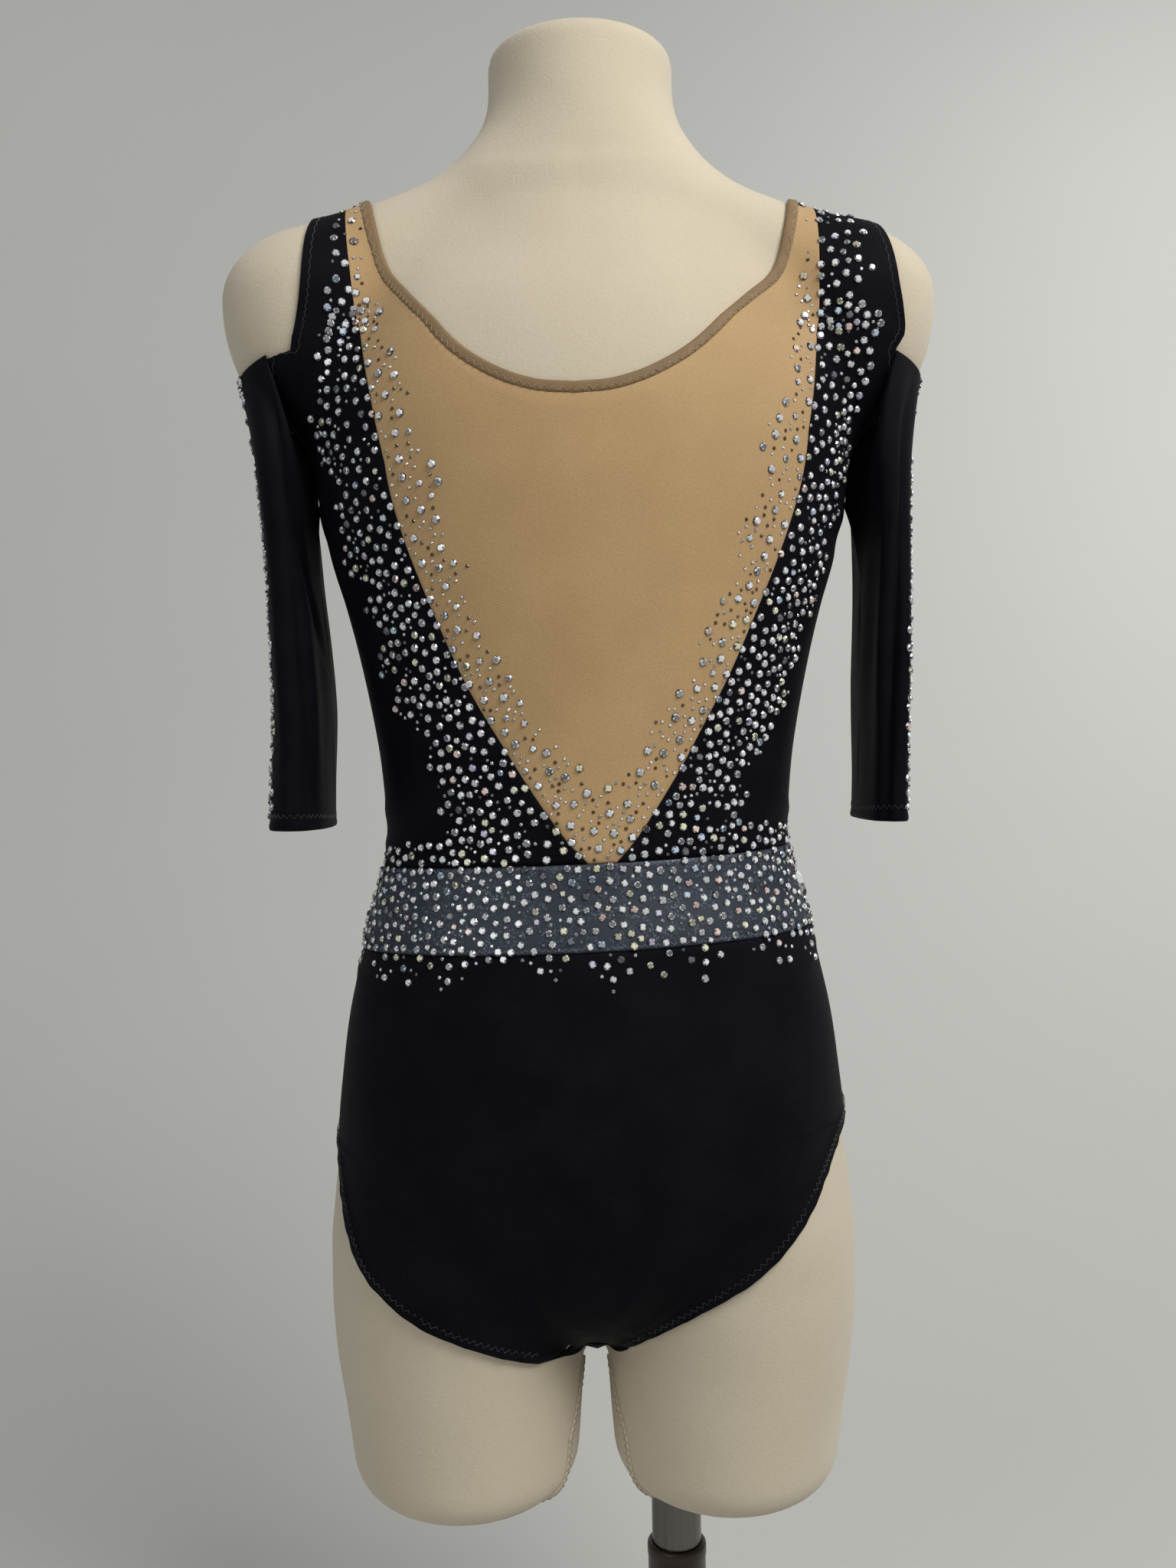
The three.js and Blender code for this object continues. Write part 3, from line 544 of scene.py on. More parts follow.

# %% [markdown]
# Tan net
#
# The insert is power net, dyed to pass for skin: seen close it is a regular mesh of tiny holes.
# Two sine waves multiplied give such a mesh, and a fine noise keeps it from looking printed. A slow
# cloudy noise makes soft patches lighter and darker, a painted mottled shade.

# %% Net
HOLE_WIDE = 1.3 * MM
HOLE_TALL = 1.5 * MM
net = Finish("sheer_mesh", Sheen_Weight=0.15, Sheen_Roughness=0.5)
uv, across, up = net.cut()
holes = (across * (TURN / HOLE_WIDE)).wave() * (up * (TURN / HOLE_TALL)).wave()
grain = net.noise(uv, 560.0, 4.0, 0.8)
cloudy = net.noise(uv, 22.0, 2.0)
# The net's real grain and holes, with painted mottled shade from the cloudy noise.
grain_and_shade = (0.55 * grain + 0.22 * holes + 0.35 * cloudy).clear(0.2, 0.85)
net.colour(net.mix(grain_and_shade, (0.430, 0.270, 0.117), (0.600, 0.402, 0.190)))
net.rough(0.62 + 0.12 * grain)
net.raise_by(0.6 * holes + grain, 0.14)
print("net made")

# %% [markdown]
# Binding and belt
#
# The binding is the colour of the net but doubled, so it looks darker. The belt is a knit with a
# broken foil print, which gives blue-grey with light flecks. Voronoi cells, kept only where a
# slower noise is high, break the print up unevenly.

# %% Binding and belt
tape = Finish("neck_tape", Sheen_Weight=0.1)
uv = tape.cut()[0]
grain = tape.noise(uv, 1100.0, 2.0)
cloudy = tape.noise(uv, 60.0, 2.0)
tape.colour(tape.mix(0.5 * grain + 0.5 * cloudy, (0.165, 0.098, 0.040), (0.290, 0.190, 0.090)))
tape.rough(0.66 + 0.1 * grain)
tape.raise_by(grain, 0.16)

foil = Finish("belt_cloth", Coat_Roughness=0.25)
uv = foil.cut()[0]
flecks = foil.node("ShaderNodeTexVoronoi", {"feature": "F1"}, {"Vector": uv, "Scale": 620.0})
cloudy = foil.noise(uv, 90.0, 3.0)
bright = (1 - flecks.clear(0.12, 0.52)) * cloudy.clear(0.38, 0.68)
foil.colour(foil.mix(bright, (0.026, 0.034, 0.052), (0.175, 0.205, 0.245)))
foil.rough(0.52 - 0.2 * bright)
foil.metal(0.15 + 0.5 * bright)
foil.raise_by(bright + 0.5 * cloudy, 0.08)
print("binding and belt made")

# %% [markdown]
# The form's jersey and the stand's metals
#
# The cover is cream jersey: warm, matt, with a fine grain and faint soiling. The rod is drawn
# steel tube with lines along it, and the stand is brown-black lacquer over steel.

# %% Jersey and metals
jersey = Finish("form_jersey", Sheen_Weight=0.2, Sheen_Roughness=0.6)
at = jersey.place()
grain = jersey.noise(at, 620.0, 4.0, 0.75)
soil = jersey.noise(at, 9.0, 3.0)
jersey.colour(jersey.mix(0.55 * soil + 0.45 * grain, (0.500, 0.425, 0.300), (0.760, 0.675, 0.525)))
jersey.rough(0.82 + 0.12 * grain)
jersey.raise_by(grain + 0.2 * soil, 0.30)

steel = Finish("rod_steel")
at = steel.place()
drawn = steel.node("ShaderNodeMapping", None, {"Vector": at, "Scale": (900.0, 900.0, 14.0)})
lines = steel.noise(drawn, 1.0, 3.0)
steel.colour(steel.mix(lines, (0.11, 0.102, 0.092), (0.20, 0.188, 0.172)))
steel.rough(0.16 + 0.22 * lines)
steel.metal(1.0)
steel.raise_by(lines, 0.02)

bronze = Finish("stand_dark", Coat_Roughness=0.3)
at = bronze.place()
cloudy = bronze.noise(at, 26.0, 4.0)
speck = bronze.noise(at, 700.0, 2.0)
bronze.colour(bronze.mix(cloudy, (0.020, 0.014, 0.011), (0.060, 0.042, 0.033)))
bronze.rough(0.30 + 0.2 * cloudy + 0.08 * speck)
bronze.metal(0.75)
bronze.feed(bronze.shader.inputs["Coat Weight"], 0.3)
bronze.raise_by(speck, 0.03)
print("jersey and metals made")

# %% [markdown]
# Cut glass and thread
#
# A glued stone is cut glass with a foil back. Each facet throws back a different part of the room,
# so one stone is white on one side and dark on the other. Here those reflections are painted into
# the base colour: each facet is white or dark by a number that Geometry Nodes gives each face, and
# the stone's own tint comes from one on each stone.

# %% Glass and threads
glass = Finish("stone_glass", Specular_IOR_Level=0.9, Coat_Weight=1.0, Coat_Roughness=0.03)
glint = glass.node("ShaderNodeAttribute", {"attribute_name": "glint"}, output=2)
tint = glass.node("ShaderNodeAttribute", {"attribute_name": "tint"}, output=0)
# Painted reflections: a facet's glint turns its base colour from dark to white. The dark facets are also
# rougher and more metallic.
lit = glint.clear(0.18, 0.72)
painted_reflection = glass.mix(lit, (0.03, 0.033, 0.04), (1.0, 1.0, 1.0))
glass.colour(glass.mix(1.0, painted_reflection, tint, blend="MULTIPLY"))
glass.rough(0.06 + 0.12 * (1 - lit))
glass.metal(0.12 + 0.4 * (1 - lit))


def thread_finish(name, slot, dark, light):
    """Sewing thread, which counts with the cloth that it sews."""
    finish = Finish(name, slot, Sheen_Weight=0.3)
    at = finish.place()
    twist = finish.noise(at, 2600.0, 2.0)
    finish.colour(finish.mix(twist, dark, light))
    finish.rough(0.55 + 0.2 * twist)
    finish.raise_by(twist, 0.05)
    return finish


black_thread = thread_finish("black_thread", "stretch_cloth", (0.004, 0.0045, 0.007), (0.011, 0.012, 0.017))
tan_thread = thread_finish("tan_thread", "neck_tape", (0.30, 0.20, 0.10), (0.50, 0.37, 0.22))
cream_thread = thread_finish("cream_thread", "form_jersey", (0.24, 0.20, 0.15), (0.62, 0.55, 0.43))
grey_thread = thread_finish("grey_thread", "belt_cloth", (0.11, 0.13, 0.16), (0.24, 0.27, 0.32))
print("glass and threads made")

# %% [markdown]
# The dress form
#
# The form is carved foam under a tight cover: no joins at the shoulders, short thighs with round
# ends. Rings of the trunk and of each thigh make three rough bodies. A voxel remesh makes one
# even skin of them, and each of its points is then moved straight on to the body rule.

# %% Dress form
FORM_FAN = table("up flat radius", [
    [20, 70, 70], [120, 60, 85], [250, 50, 70], [400, 60, 75], [480, 95, 55], [545, 150, 45],
    [575, 165, 40], [600, 158, 40], [620, 135, 40], [634, 105, 40], [645, 70, 45], [660, 25, 50],
    [690, 0, 55], [733, 0, 55],
])
TRUNK_RINGS = np.concatenate([np.linspace(26, 640, 90), np.linspace(646, 732, 24)])
THIGH_RINGS = np.linspace(-86.5, 60, 36)
FORM_VOXEL = 4.2
FORM_INSET = 0.35
FORM_PULLS = 6
PULL_SHARE = 0.9


def trunk_ring(up, count=72):
    """Points round the trunk, shoulders or neck at one height."""
    flat = FORM_FAN["flat"](up)
    radius = FORM_FAN["radius"](up)
    quarter = flat + radius * math.pi / 2
    along = np.linspace(-2 * quarter, 2 * quarter, count + 1)[:-1]
    face = np.where(np.abs(along) <= quarter, BACK, FRONT)
    across = np.where(face == BACK, along, np.sign(along) * (2 * quarter - np.abs(along)))
    fan = np.maximum(np.abs(across) - flat, 0) / radius
    side = np.sign(across)
    middle = NECK["x"] if up > NECK["root"] else 0
    x = middle + side * np.minimum(np.abs(across), flat)
    origin = np.stack([x, np.zeros(count), np.full(count, float(up))], -1)
    return leave(origin, np.stack([side * np.sin(fan), face * np.cos(fan), np.zeros(count)], -1))


def thigh_ring(side, up, count=40):
    """Points round one thigh at one height."""
    turn = np.linspace(0, TURN, count + 1)[:-1]
    origin = np.tile([side * float(THIGH["centre"](up)), 0.0, up], (count, 1))
    direction = np.stack([np.sin(turn), -np.cos(turn), np.zeros(count)], -1)
    return leave(origin, direction, one_thigh(side), far=100.0)


def ring_body(name, rings):
    """A closed body through rings of points."""
    count = len(rings[0])
    points = np.concatenate([*rings, [rings[0].mean(0)], [rings[-1].mean(0)]])
    low = len(points) - 2
    faces = []
    for i in range(len(rings)):
        for j in range(count):
            a = i * count + j
            b = i * count + (j + 1) % count
            if i == 0:
                faces.append((low, b, a))
            if i == len(rings) - 1:
                faces.append((low + 1, a, b))
            else:
                faces.append((a, b, b + count))
                faces.append((a, b + count, a + count))
    return solid(name, raised(points), np.array(faces))


def applied(piece):
    """The piece's modifiers made into its mesh."""
    depsgraph = bpy.context.evaluated_depsgraph_get()
    done = bpy.data.meshes.new_from_object(piece.evaluated_get(depsgraph))
    piece.modifiers.clear()
    piece.data = done
    return piece


def joined(name, parts):
    """Several objects as one, in the first one's place."""
    with bpy.context.temp_override(active_object=parts[0], selected_editable_objects=parts):
        bpy.ops.object.join()
    parts[0].name = name
    parts[0].data.name = name
    return parts[0]


rough_parts = [ring_body("trunk", [trunk_ring(up) for up in TRUNK_RINGS])]
for side in (-1, 1):
    rough_parts.append(ring_body("thigh", [thigh_ring(side, up) for up in THIGH_RINGS]))
dress_form = joined("form_body", rough_parts)
remesh = dress_form.modifiers.new("even skin", "REMESH")
remesh.mode = "VOXEL"
remesh.voxel_size = FORM_VOXEL * MM
applied(dress_form)

points = np.empty(len(dress_form.data.vertices) * 3)
dress_form.data.vertices.foreach_get("co", points)
points = points.reshape(-1, 3) / MM - (0, 0, CROTCH_UP)
for _ in range(FORM_PULLS):
    points -= PULL_SHARE * (body_rule(points) + FORM_INSET)[:, None] * normals(points)
dress_form.data.vertices.foreach_set("co", raised(points).ravel())
dress_form.data.shade_smooth()
dressed(dress_form, jersey, "dress_form")
print("form:", len(dress_form.data.polygons), "faces")

# %% [markdown]
# The garment's cut lines
#
# These are the pattern's own lines, as distance across from the middle back or front and height
# up. They are the same lines that the solids were cut by.

# %% Cut lines
WAIST_TOP = 275
WAIST_BOTTOM = 229
UNDERARM = 474
STRAP_END = 552
CROTCH_SEAM_BACK = 6
CROTCH_SEAM_FRONT = 14
BINDING_WIDE = 6.2
SEAM_HALF = 0.06
NECK_END = 118
CLEAR = 0.7
CLOTH = 1.3
BELT_CLOTH = 1.6
BINDING = 2.1

BACK_V = table("up across", [
    [WAIST_TOP, 7.5], [288, 19], [315, 37], [342, 53], [376, 73], [417, 90.5], [463, 104],
    [507, 114], [570, 124], [618, 128], [RIDGE, 130],
])["across"]
V_SHIFT = table("up right", [[WAIST_TOP, 5.5], [500, 5], [575, 3.5], [618, 1.5], [RIDGE, 0]])["right"]
STRAP_OUTER = table("up left right", [
    [STRAP_END, 158, 170.5], [562, 156, 176], [587, 152.5, 174.5], [604, 150.5, 171.5], [625, 149, 168],
    [RIDGE, 146, 163],
])
ARMHOLE = table("up angle", [
    [UNDERARM, 90], [490, 84], [505, 76], [520, 62], [535, 40], [545, 25], [STRAP_END, 12],
])["angle"]
NECK_BACK = table("across up", [
    [0, 522], [20, 524], [41, 532], [62, 547], [82, 572], [99, 603], [111, 628], [NECK_END, RIDGE],
])["up"]
NECK_LEAN = table("up left", [[522, 6], [547, 4.5], [575, 2], [605, 0], [RIDGE, 0]])["left"]
NECK_FRONT = table("across up", [
    [0, 568], [30, 572], [58, 584], [82, 603], [101, 624], [112, 640], [NECK_END, RIDGE],
])["up"]
LEG_BACK = table("up left right", [
    [6, 34, 18], [20, 62, 31], [35, 93, 50], [45, 108, 64], [58, 123, 82], [72, 131, 98],
    [86, 136, 111], [101, 140, 122], [114, 143, 132], [122, 150, 139], [132, 150, 150],
])
LEG_FRONT = table("up left right", [
    [CROTCH_SEAM_FRONT, 27, 27], [30, 34, 33], [45, 45, 42], [60, 60, 54], [74, 77, 68],
    [88, 96, 84], [101, 115, 101], [114, 134, 119], [122, 150, 132], [132, 150, 150],
])
LEG_SIDE = {"left": 122, "right": 132}


def seam_across(up):
    """Distance from the middle to the sleeve's seam."""
    return FAN["flat"](up) + FAN["radius"](up) * np.radians(ARMHOLE(up))


def v_seam(side, up):
    """Distance from the middle of the V's seam on one side."""
    return BACK_V(up) + side * V_SHIFT(up)


def bodice_edge(side, up):
    """Outer edge of the bodice: side seam, then sleeve seam, then the strap's edge."""
    up = np.asarray(up, float)
    edge = np.where(up <= UNDERARM, side_seam(up) - SEAM_HALF, seam_across(up) - SEAM_HALF)
    strap = np.where(np.asarray(side) < 0, STRAP_OUTER["left"](up), STRAP_OUTER["right"](up))
    return np.where(up <= STRAP_END, edge, strap)


def evenly(path, count):
    """Points along a path, spaced evenly by length."""
    path = np.asarray(path, float)
    length = np.concatenate([[0], np.cumsum(np.linalg.norm(np.diff(path, axis=0), axis=1))])
    want = np.linspace(0, length[-1], count + 1)
    return np.stack([np.interp(want, length, path[:, k]) for k in (0, 1)], -1)


def neck_line(line, distance, count):
    """Half a neckline, moved away from the neck by a distance."""
    across = np.linspace(0, NECK_END, 90)
    half = evenly(np.stack([across, line(across)], -1), count)
    along = np.gradient(half, axis=0)
    along[0] = (1, 0)
    along[-1] = (0, 1)
    along /= np.linalg.norm(along, axis=1, keepdims=True)
    return half + distance * np.stack([along[:, 1], -along[:, 0]], -1)


def both_sides(left, right):
    """One line from the end of the left half, through the middle, to the end of the right."""
    return np.concatenate([left[:0:-1] * (-1, 1), right])


def neckline(face, distance, count):
    """The whole neckline behind or in front, moved away from the neck by a distance."""
    half = neck_line(NECK_BACK if face == BACK else NECK_FRONT, distance, count)
    whole = both_sides(half, half)
    if face == BACK:
        whole[:, 0] -= NECK_LEAN(whole[:, 1])
    return whole


strap_wide = [round(float(bodice_edge(side, RIDGE) - BACK_V(RIDGE)), 1) for side in (-1, 1)]
print("straps at the shoulder:", strap_wide, "mm wide")

# %% [markdown]
# Creases laid one by one
#
# Stretched cloth on a form is smooth, apart from where a seam gathers it: at the underarm, above
# and below the belt near the side seams, and at the crotch. Each crease is a soft ridge or trough
# along a short line, no two with the same length, height or spacing. The front has its own.

# %% Creases
# Each row: across from, up from, across to, up to, width, height.
CREASES = {
    BACK: [
        (-176, 470, -150, 440, 5, 1.3), (-180, 455, -158, 418, 6, 0.9), (-170, 486, -146, 470, 4, 0.8),
        (177, 468, 149, 446, 5, 1.1), (182, 449, 163, 421, 5, 1.0), (172, 488, 151, 478, 4, 0.7),
        (-160, 288, -118, 296, 4, 0.9), (-163, 305, -132, 318, 5, 0.7), (161, 292, 124, 299, 4, 0.8),
        (-162, 219, -122, 209, 5, 0.9), (163, 221, 131, 205, 4, 0.7), (-150, 203, -118, 192, 6, 0.5),
        (-30, 22, -78, 58, 4, 1.2), (-14, 30, -48, 74, 5, 0.9), (18, 24, 52, 62, 4, 1.1),
        (8, 36, 30, 84, 5, 0.8), (-2, 14, -6, 60, 4, -0.7), (-96, 92, -128, 122, 6, 0.8),
        (92, 104, 122, 134, 5, 0.7), (0, 200, 3, 150, 12, -0.5),
    ],
    FRONT: [
        (-174, 472, -148, 452, 5, 1.0), (-178, 458, -160, 430, 6, 0.8), (175, 470, 146, 450, 5, 1.1),
        (-158, 290, -112, 297, 4, 0.9), (160, 287, 120, 293, 4, 0.8), (-60, 289, -20, 293, 4, 0.5),
        (-161, 220, -117, 212, 5, 0.8), (162, 218, 128, 207, 4, 0.9), (22, 222, 58, 216, 4, 0.5),
        (-20, 34, -52, 78, 4, 1.0), (16, 32, 49, 73, 5, 0.9), (2, 40, -3, 88, 5, -0.6),
        (-84, 104, -122, 134, 6, 0.7), (88, 108, 127, 141, 5, 0.8),
    ],
}


def creased(face, across, up):
    """Height of the creases over an array of places, in millimetres."""
    height = np.zeros(np.broadcast(across, up).shape)
    for a0, u0, a1, u1, width, tall in CREASES[face]:
        run = np.array([a1 - a0, u1 - u0], float)
        length = np.hypot(*run)
        along = ((across - a0) * run[0] + (up - u0) * run[1]) / length
        aside = ((across - a0) * run[1] - (up - u0) * run[0]) / length
        bend = aside - 0.06 * length * np.sin(np.clip(along / length, 0, 1) * math.pi)
        past = np.maximum(np.abs(along / length - 0.5) - 0.5, 0) * length / width
        taper = np.clip(1.25 - along / length, 0.25, 1)
        height += tall * taper * np.exp(-(bend / width) ** 2 - past**2)
    return height


CREASE_DEEPEST = -0.6


def surface(face, across, up):
    """How far the cloth's outside stands off the skin."""
    return CLEAR + CLOTH + np.maximum(creased(face, across, up), CREASE_DEEPEST)


def on_cloth(face, spots):
    """Points on the cloth's outside, and outward directions, at places across and up."""
    p, n = skin(face, spots[:, 0], spots[:, 1])
    return p + n * surface(face, spots[:, 0], spots[:, 1])[:, None], n


print(len(CREASES[BACK]), "creases behind,", len(CREASES[FRONT]), "in front")

# %% [markdown]
# Cloth pieces on the body
#
# Each panel is a grid between its own cut lines, laid on the skin. The edges are a little thinner,
# as a folded or overlocked edge looks, and neighbouring panels meet within a tenth of a
# millimetre, because on the real garment they are sewn together.

# %% Cloth helper


def flat_size(across, up):
    """Width and length of a cut piece, in metres, with its flat area."""
    size = [float(np.ptp(across)) * MM, float(np.ptp(up)) * MM]
    a = np.stack([across, up], -1)
    first = a[1:, 1:] - a[:-1, :-1]
    second = a[1:, :-1] - a[:-1, 1:]
    area = 0.5 * np.abs(first[..., 0] * second[..., 1] - first[..., 1] * second[..., 0]).sum()
    return size, float(area) * MM * MM


def lay_cloth(name, node, face, across, up, finish, top=None):
    """A panel of cloth on one face of the form, in the place of one solid."""
    place, normal = skin(face, across, up)
    if top is None:
        top = surface(face, across, up)
    thick = CLOTH * rim_thin(across.shape)
    uv = np.stack([across, up], -1) * MM
    piece = dressed(wall(name, place, normal, top - CLOTH, top - CLOTH + thick, uv), finish, node)
    size, area = flat_size(across, up)
    print(name, len(piece.data.polygons), "faces, cut", [round(v, 3) for v in size], round(area, 4), "m2")
    return piece


def between(inner, outer, share):
    """A grid from one line to another, as places across and up."""
    grid = inner[:, None] + share[None, :, None] * (outer - inner)[:, None]
    return grid[..., 0], grid[..., 1]


SIDES = (("left", -1), ("right", 1))
print("cloth", CLOTH, "mm thick,", CLEAR, "mm off the skin")

# %% [markdown]
# Back insert
#
# The net is one long V, cut from the neck binding down to a point at the belt. A grid from the
# neckline to the two seams keeps its rows along the edges, so both are clean curves.

# %% Back insert
SEAM_ROWS = 120
SEAM_SAMPLES = 260
UNDER_BINDING = 0.8
BODICE_LOW = WAIST_TOP + SEAM_HALF

seam_up = np.linspace(BODICE_LOW, RIDGE, SEAM_SAMPLES)
seams = {side: evenly(np.stack([v_seam(side, seam_up), seam_up], -1), SEAM_ROWS - 1) for side in (-1, 1)}
halves = [np.concatenate([[[0, BODICE_LOW]], seams[side] - (SEAM_HALF, 0)]) for side in (-1, 1)]
neck_edge = neckline(BACK, BINDING_WIDE - UNDER_BINDING, SEAM_ROWS)
across, up = between(neck_edge, both_sides(*halves), spaced(26, 0.006))
lay_cloth("back_net", "back_mesh_insert", BACK, across, up, net)

# %% [markdown]
# Back sides
#
# Each black side runs from the seam of the V to the side seam, then to the sleeve's seam, and ends
# in a strap over the shoulder. Its rows are level, because all of its edges run mostly upwards.

# %% Back sides
for label, side in SIDES:
    start = seams[side][:, :1] + SEAM_HALF
    up = seams[side][:, 1:]
    across = side * (start + spaced(44, 0.006)[None, :] * (bodice_edge(side, up) - start))
    up = np.broadcast_to(up, across.shape)
    lay_cloth(f"back_{label}", f"back_side_{label}", BACK, across, up, black)

# %% [markdown]
# Front
#
# The front is one black panel with both straps. It is filled like the insert, but between the
# neckline and one line that runs along the belt's seam and up both sides.

# %% Front
HEM_SAMPLES = 60
SIDE_SAMPLES = 300
hem = np.linspace(0, float(bodice_edge(1, BODICE_LOW)), HEM_SAMPLES)
side_up = np.linspace(BODICE_LOW, RIDGE, SIDE_SAMPLES)[1:]
hem_line = np.stack([hem, np.full(HEM_SAMPLES, BODICE_LOW)], -1)
halves = []
for _, side in SIDES:
    side_line = np.stack([bodice_edge(side, side_up), side_up], -1)
    halves.append(evenly(np.concatenate([hem_line, side_line]), SEAM_ROWS))
neck_edge = neckline(FRONT, BINDING_WIDE - UNDER_BINDING, SEAM_ROWS)
across, up = between(neck_edge, both_sides(*halves), spaced(60, 0.005))
lay_cloth("front_panel", "front_bodice", FRONT, across, np.minimum(up, RIDGE), black)

# %% [markdown]
# Briefs
#
# The briefs are rows across from one leg opening to the other. Below the widest row the leg line
# cuts in. The last 6 mm of cloth at a leg opening is turned under over elastic, so it stands a
# little proud, with small uneven puckers where the elastic draws it in.

# %% Briefs
LEG_HEM = 6.0
HEM_PROUD = 0.8
HEM_SOFT = 0.5
LEG_TOP = 134
# Steps from an edge to where the turned hem is flat again.
EDGE_STEPS = np.array([0, 0.6, 2, 3.5, 5, 5.6, 6.2, 7, 9, 14])
MIDDLE_STEPS = np.linspace(0, 1, 96)[1:-1]


def leg_edges(face, up):
    """Where the briefs begin and end across, at each height."""
    leg = LEG_BACK if face == BACK else LEG_FRONT
    seam = side_seam(up) - SEAM_HALF
    found = []
    for label, side in SIDES:
        cut = across_at(face, side * leg[label](up), up)
        found.append(np.where(up >= LEG_SIDE[label], side * seam, cut))
    return found


def briefs_ups(low_up):
    """Heights of the rows, closer together where the leg line cuts in."""
    close = np.linspace(low_up, LEG_TOP, 84)
    return np.concatenate([close, np.linspace(LEG_TOP, WAIST_BOTTOM - SEAM_HALF, 40)[1:]])


def hem_height(aside, along):
    """The turned hem's height, by distance from the edge and along it."""
    band = 1 / (1 + np.exp(np.minimum((aside - LEG_HEM) / HEM_SOFT, 50)))
    pucker = 0.22 * np.sin(along / 2.9) + 0.16 * np.sin(along / 1.7 + 2.0) + 0.2 * np.sin(along / 9.3)
    return band * (HEM_PROUD + pucker)


def briefs(name, node, face, low_up):
    """The back or the front of the briefs, with its turned hems."""
    ups = briefs_ups(low_up)
    left, right = leg_edges(face, ups)
    width = right - left
    rows = []
    for row in range(len(ups)):
        edge = np.minimum(EDGE_STEPS, width[row] * 0.45)
        inside = edge[-1] + MIDDLE_STEPS * (width[row] - 2 * edge[-1])
        rows.append(left[row] + np.concatenate([edge, inside, width[row] - edge[::-1]]))
    across = np.array(rows)
    up = np.broadcast_to(ups[:, None], across.shape)
    top = surface(face, across, up)
    for edge_line, label in ((left, "left"), (right, "right")):
        open_leg = np.clip((LEG_SIDE[label] - up) / LEG_HEM, 0, 1)
        slope = np.gradient(edge_line, ups)
        aside = np.abs(across - edge_line[:, None]) / np.sqrt(1 + slope**2)[:, None]
        length = np.concatenate([[0], np.cumsum(np.hypot(np.diff(edge_line), np.diff(ups)))])
        top = top + open_leg * hem_height(aside, length[:, None])
    return lay_cloth(name, node, face, across, up, black, top)


briefs("briefs_back_cloth", "briefs_back", BACK, CROTCH_SEAM_BACK)
briefs("briefs_front_cloth", "briefs_front", FRONT, CROTCH_SEAM_FRONT)

# %% [markdown]
# Gusset
#
# A small piece between the thighs joins back and front. It is drawn as an arch under the crotch
# and settled on to the skin, in small steps down the slope of the body rule.

# %% Gusset
GUSSET_HALF = 4.0
GUSSET_REACH = 46.0
GUSSET_TOP = 4.0
GUSSET_DROP = 10.0
GUSSET_NARROWING = 0.6
GUSSET_CUT = (20, 30)


def settle(p, steps=14, part=0.8):
    """Points moved on to the skin, with their outward directions."""
    for _ in range(steps):
        p = p - part * body_rule(p)[..., None] * normals(p)
    return p, normals(p)


turn = np.linspace(0, math.pi, 42)[:, None]
share = np.linspace(-1, 1, 21)[None, :]
narrow = np.sin(turn) ** GUSSET_NARROWING
at_back = np.where(share < 0, LEG_BACK["left"](CROTCH_SEAM_BACK), LEG_BACK["right"](CROTCH_SEAM_BACK))
at_front = np.full(share.shape, LEG_FRONT["left"](CROTCH_SEAM_FRONT))
half = np.where(turn < math.pi / 2, at_back, at_front) * (1 - narrow) + GUSSET_HALF * narrow
rough = np.stack(np.broadcast_arrays(
    share * half, -GUSSET_REACH * np.cos(turn), GUSSET_TOP - GUSSET_DROP * np.sin(turn),
), -1)
place, normal = settle(rough)
for row, face, seam_at, half_width in (
    (0, BACK, CROTCH_SEAM_BACK, at_back), (-1, FRONT, CROTCH_SEAM_FRONT, at_front),
):
    across = across_at(face, (share * half_width)[0], seam_at)
    place[row], normal[row] = skin(face, across, seam_at - 0.2)
uv = np.stack(np.broadcast_arrays(share * GUSSET_CUT[0], turn * GUSSET_CUT[1]), -1) * MM
gusset = dressed(wall("gusset_cloth", place, normal, CLEAR, CLEAR + CLOTH, uv), black, "gusset")
arch = float(np.linalg.norm(np.diff(place, axis=0), axis=-1).sum(0).mean()) * MM
span = np.linalg.norm(np.diff(place, axis=1), axis=-1).sum(1) * MM

# %% [markdown]
# Belt
#
# The belt is a ring of the foil cloth, let in between bodice and briefs. Its two edges are sewn
# down, which leaves a narrow flat margin and then a slightly fuller middle.

# %% Belt
BELT_COLUMNS = 260
BELT_EDGE = 2.2
BELT_FULLER = 0.45
BELT_MIDDLE_ROW = 14
ups = WAIST_BOTTOM + SEAM_HALF + spaced(26, 0.012) * (WAIST_TOP - WAIST_BOTTOM - 2 * SEAM_HALF)
rows = []
ways = []
for u in ups:
    half = np.linspace(-side_seam(u), side_seam(u), BELT_COLUMNS // 2 + 1)[:-1]
    back_p, back_n = skin(BACK, half, u)
    front_p, front_n = skin(FRONT, -half, u)
    rows.append(np.concatenate([back_p, front_p]))
    ways.append(np.concatenate([back_n, front_n]))
place = np.array(rows)
normal = np.array(ways)
round_way = np.linspace(0, 4 * float(side_seam(250.0)), BELT_COLUMNS + 1)[:-1]
across, up = np.meshgrid(round_way, ups)
from_edge = np.minimum(up - WAIST_BOTTOM, WAIST_TOP - up)
fuller = BELT_FULLER * (1 - np.exp(-np.maximum(from_edge - BELT_EDGE, 0) / 3))
ripple = 0.16 * np.sin(across / 7.0 + 0.03 * up) * np.sin(across / 31.0) + 0.1 * np.sin(across / 3.7)
belt_top = CLEAR + BELT_CLOTH + fuller + ripple * np.exp(-((from_edge - BELT_EDGE) / 5) ** 2)
thick = BELT_CLOTH * rim_thin(across.shape, sides=False)
uv = np.stack([across, up], -1) * MM
inside = belt_top - BELT_CLOTH
belt = wall("belt_ring", place, normal, inside, inside + thick, uv, around=True)
dressed(belt, foil, "waist_belt")
ring = place[BELT_MIDDLE_ROW]
belt_round = float(np.linalg.norm(np.diff(ring, axis=0, append=ring[:1]), axis=1).sum()) * MM
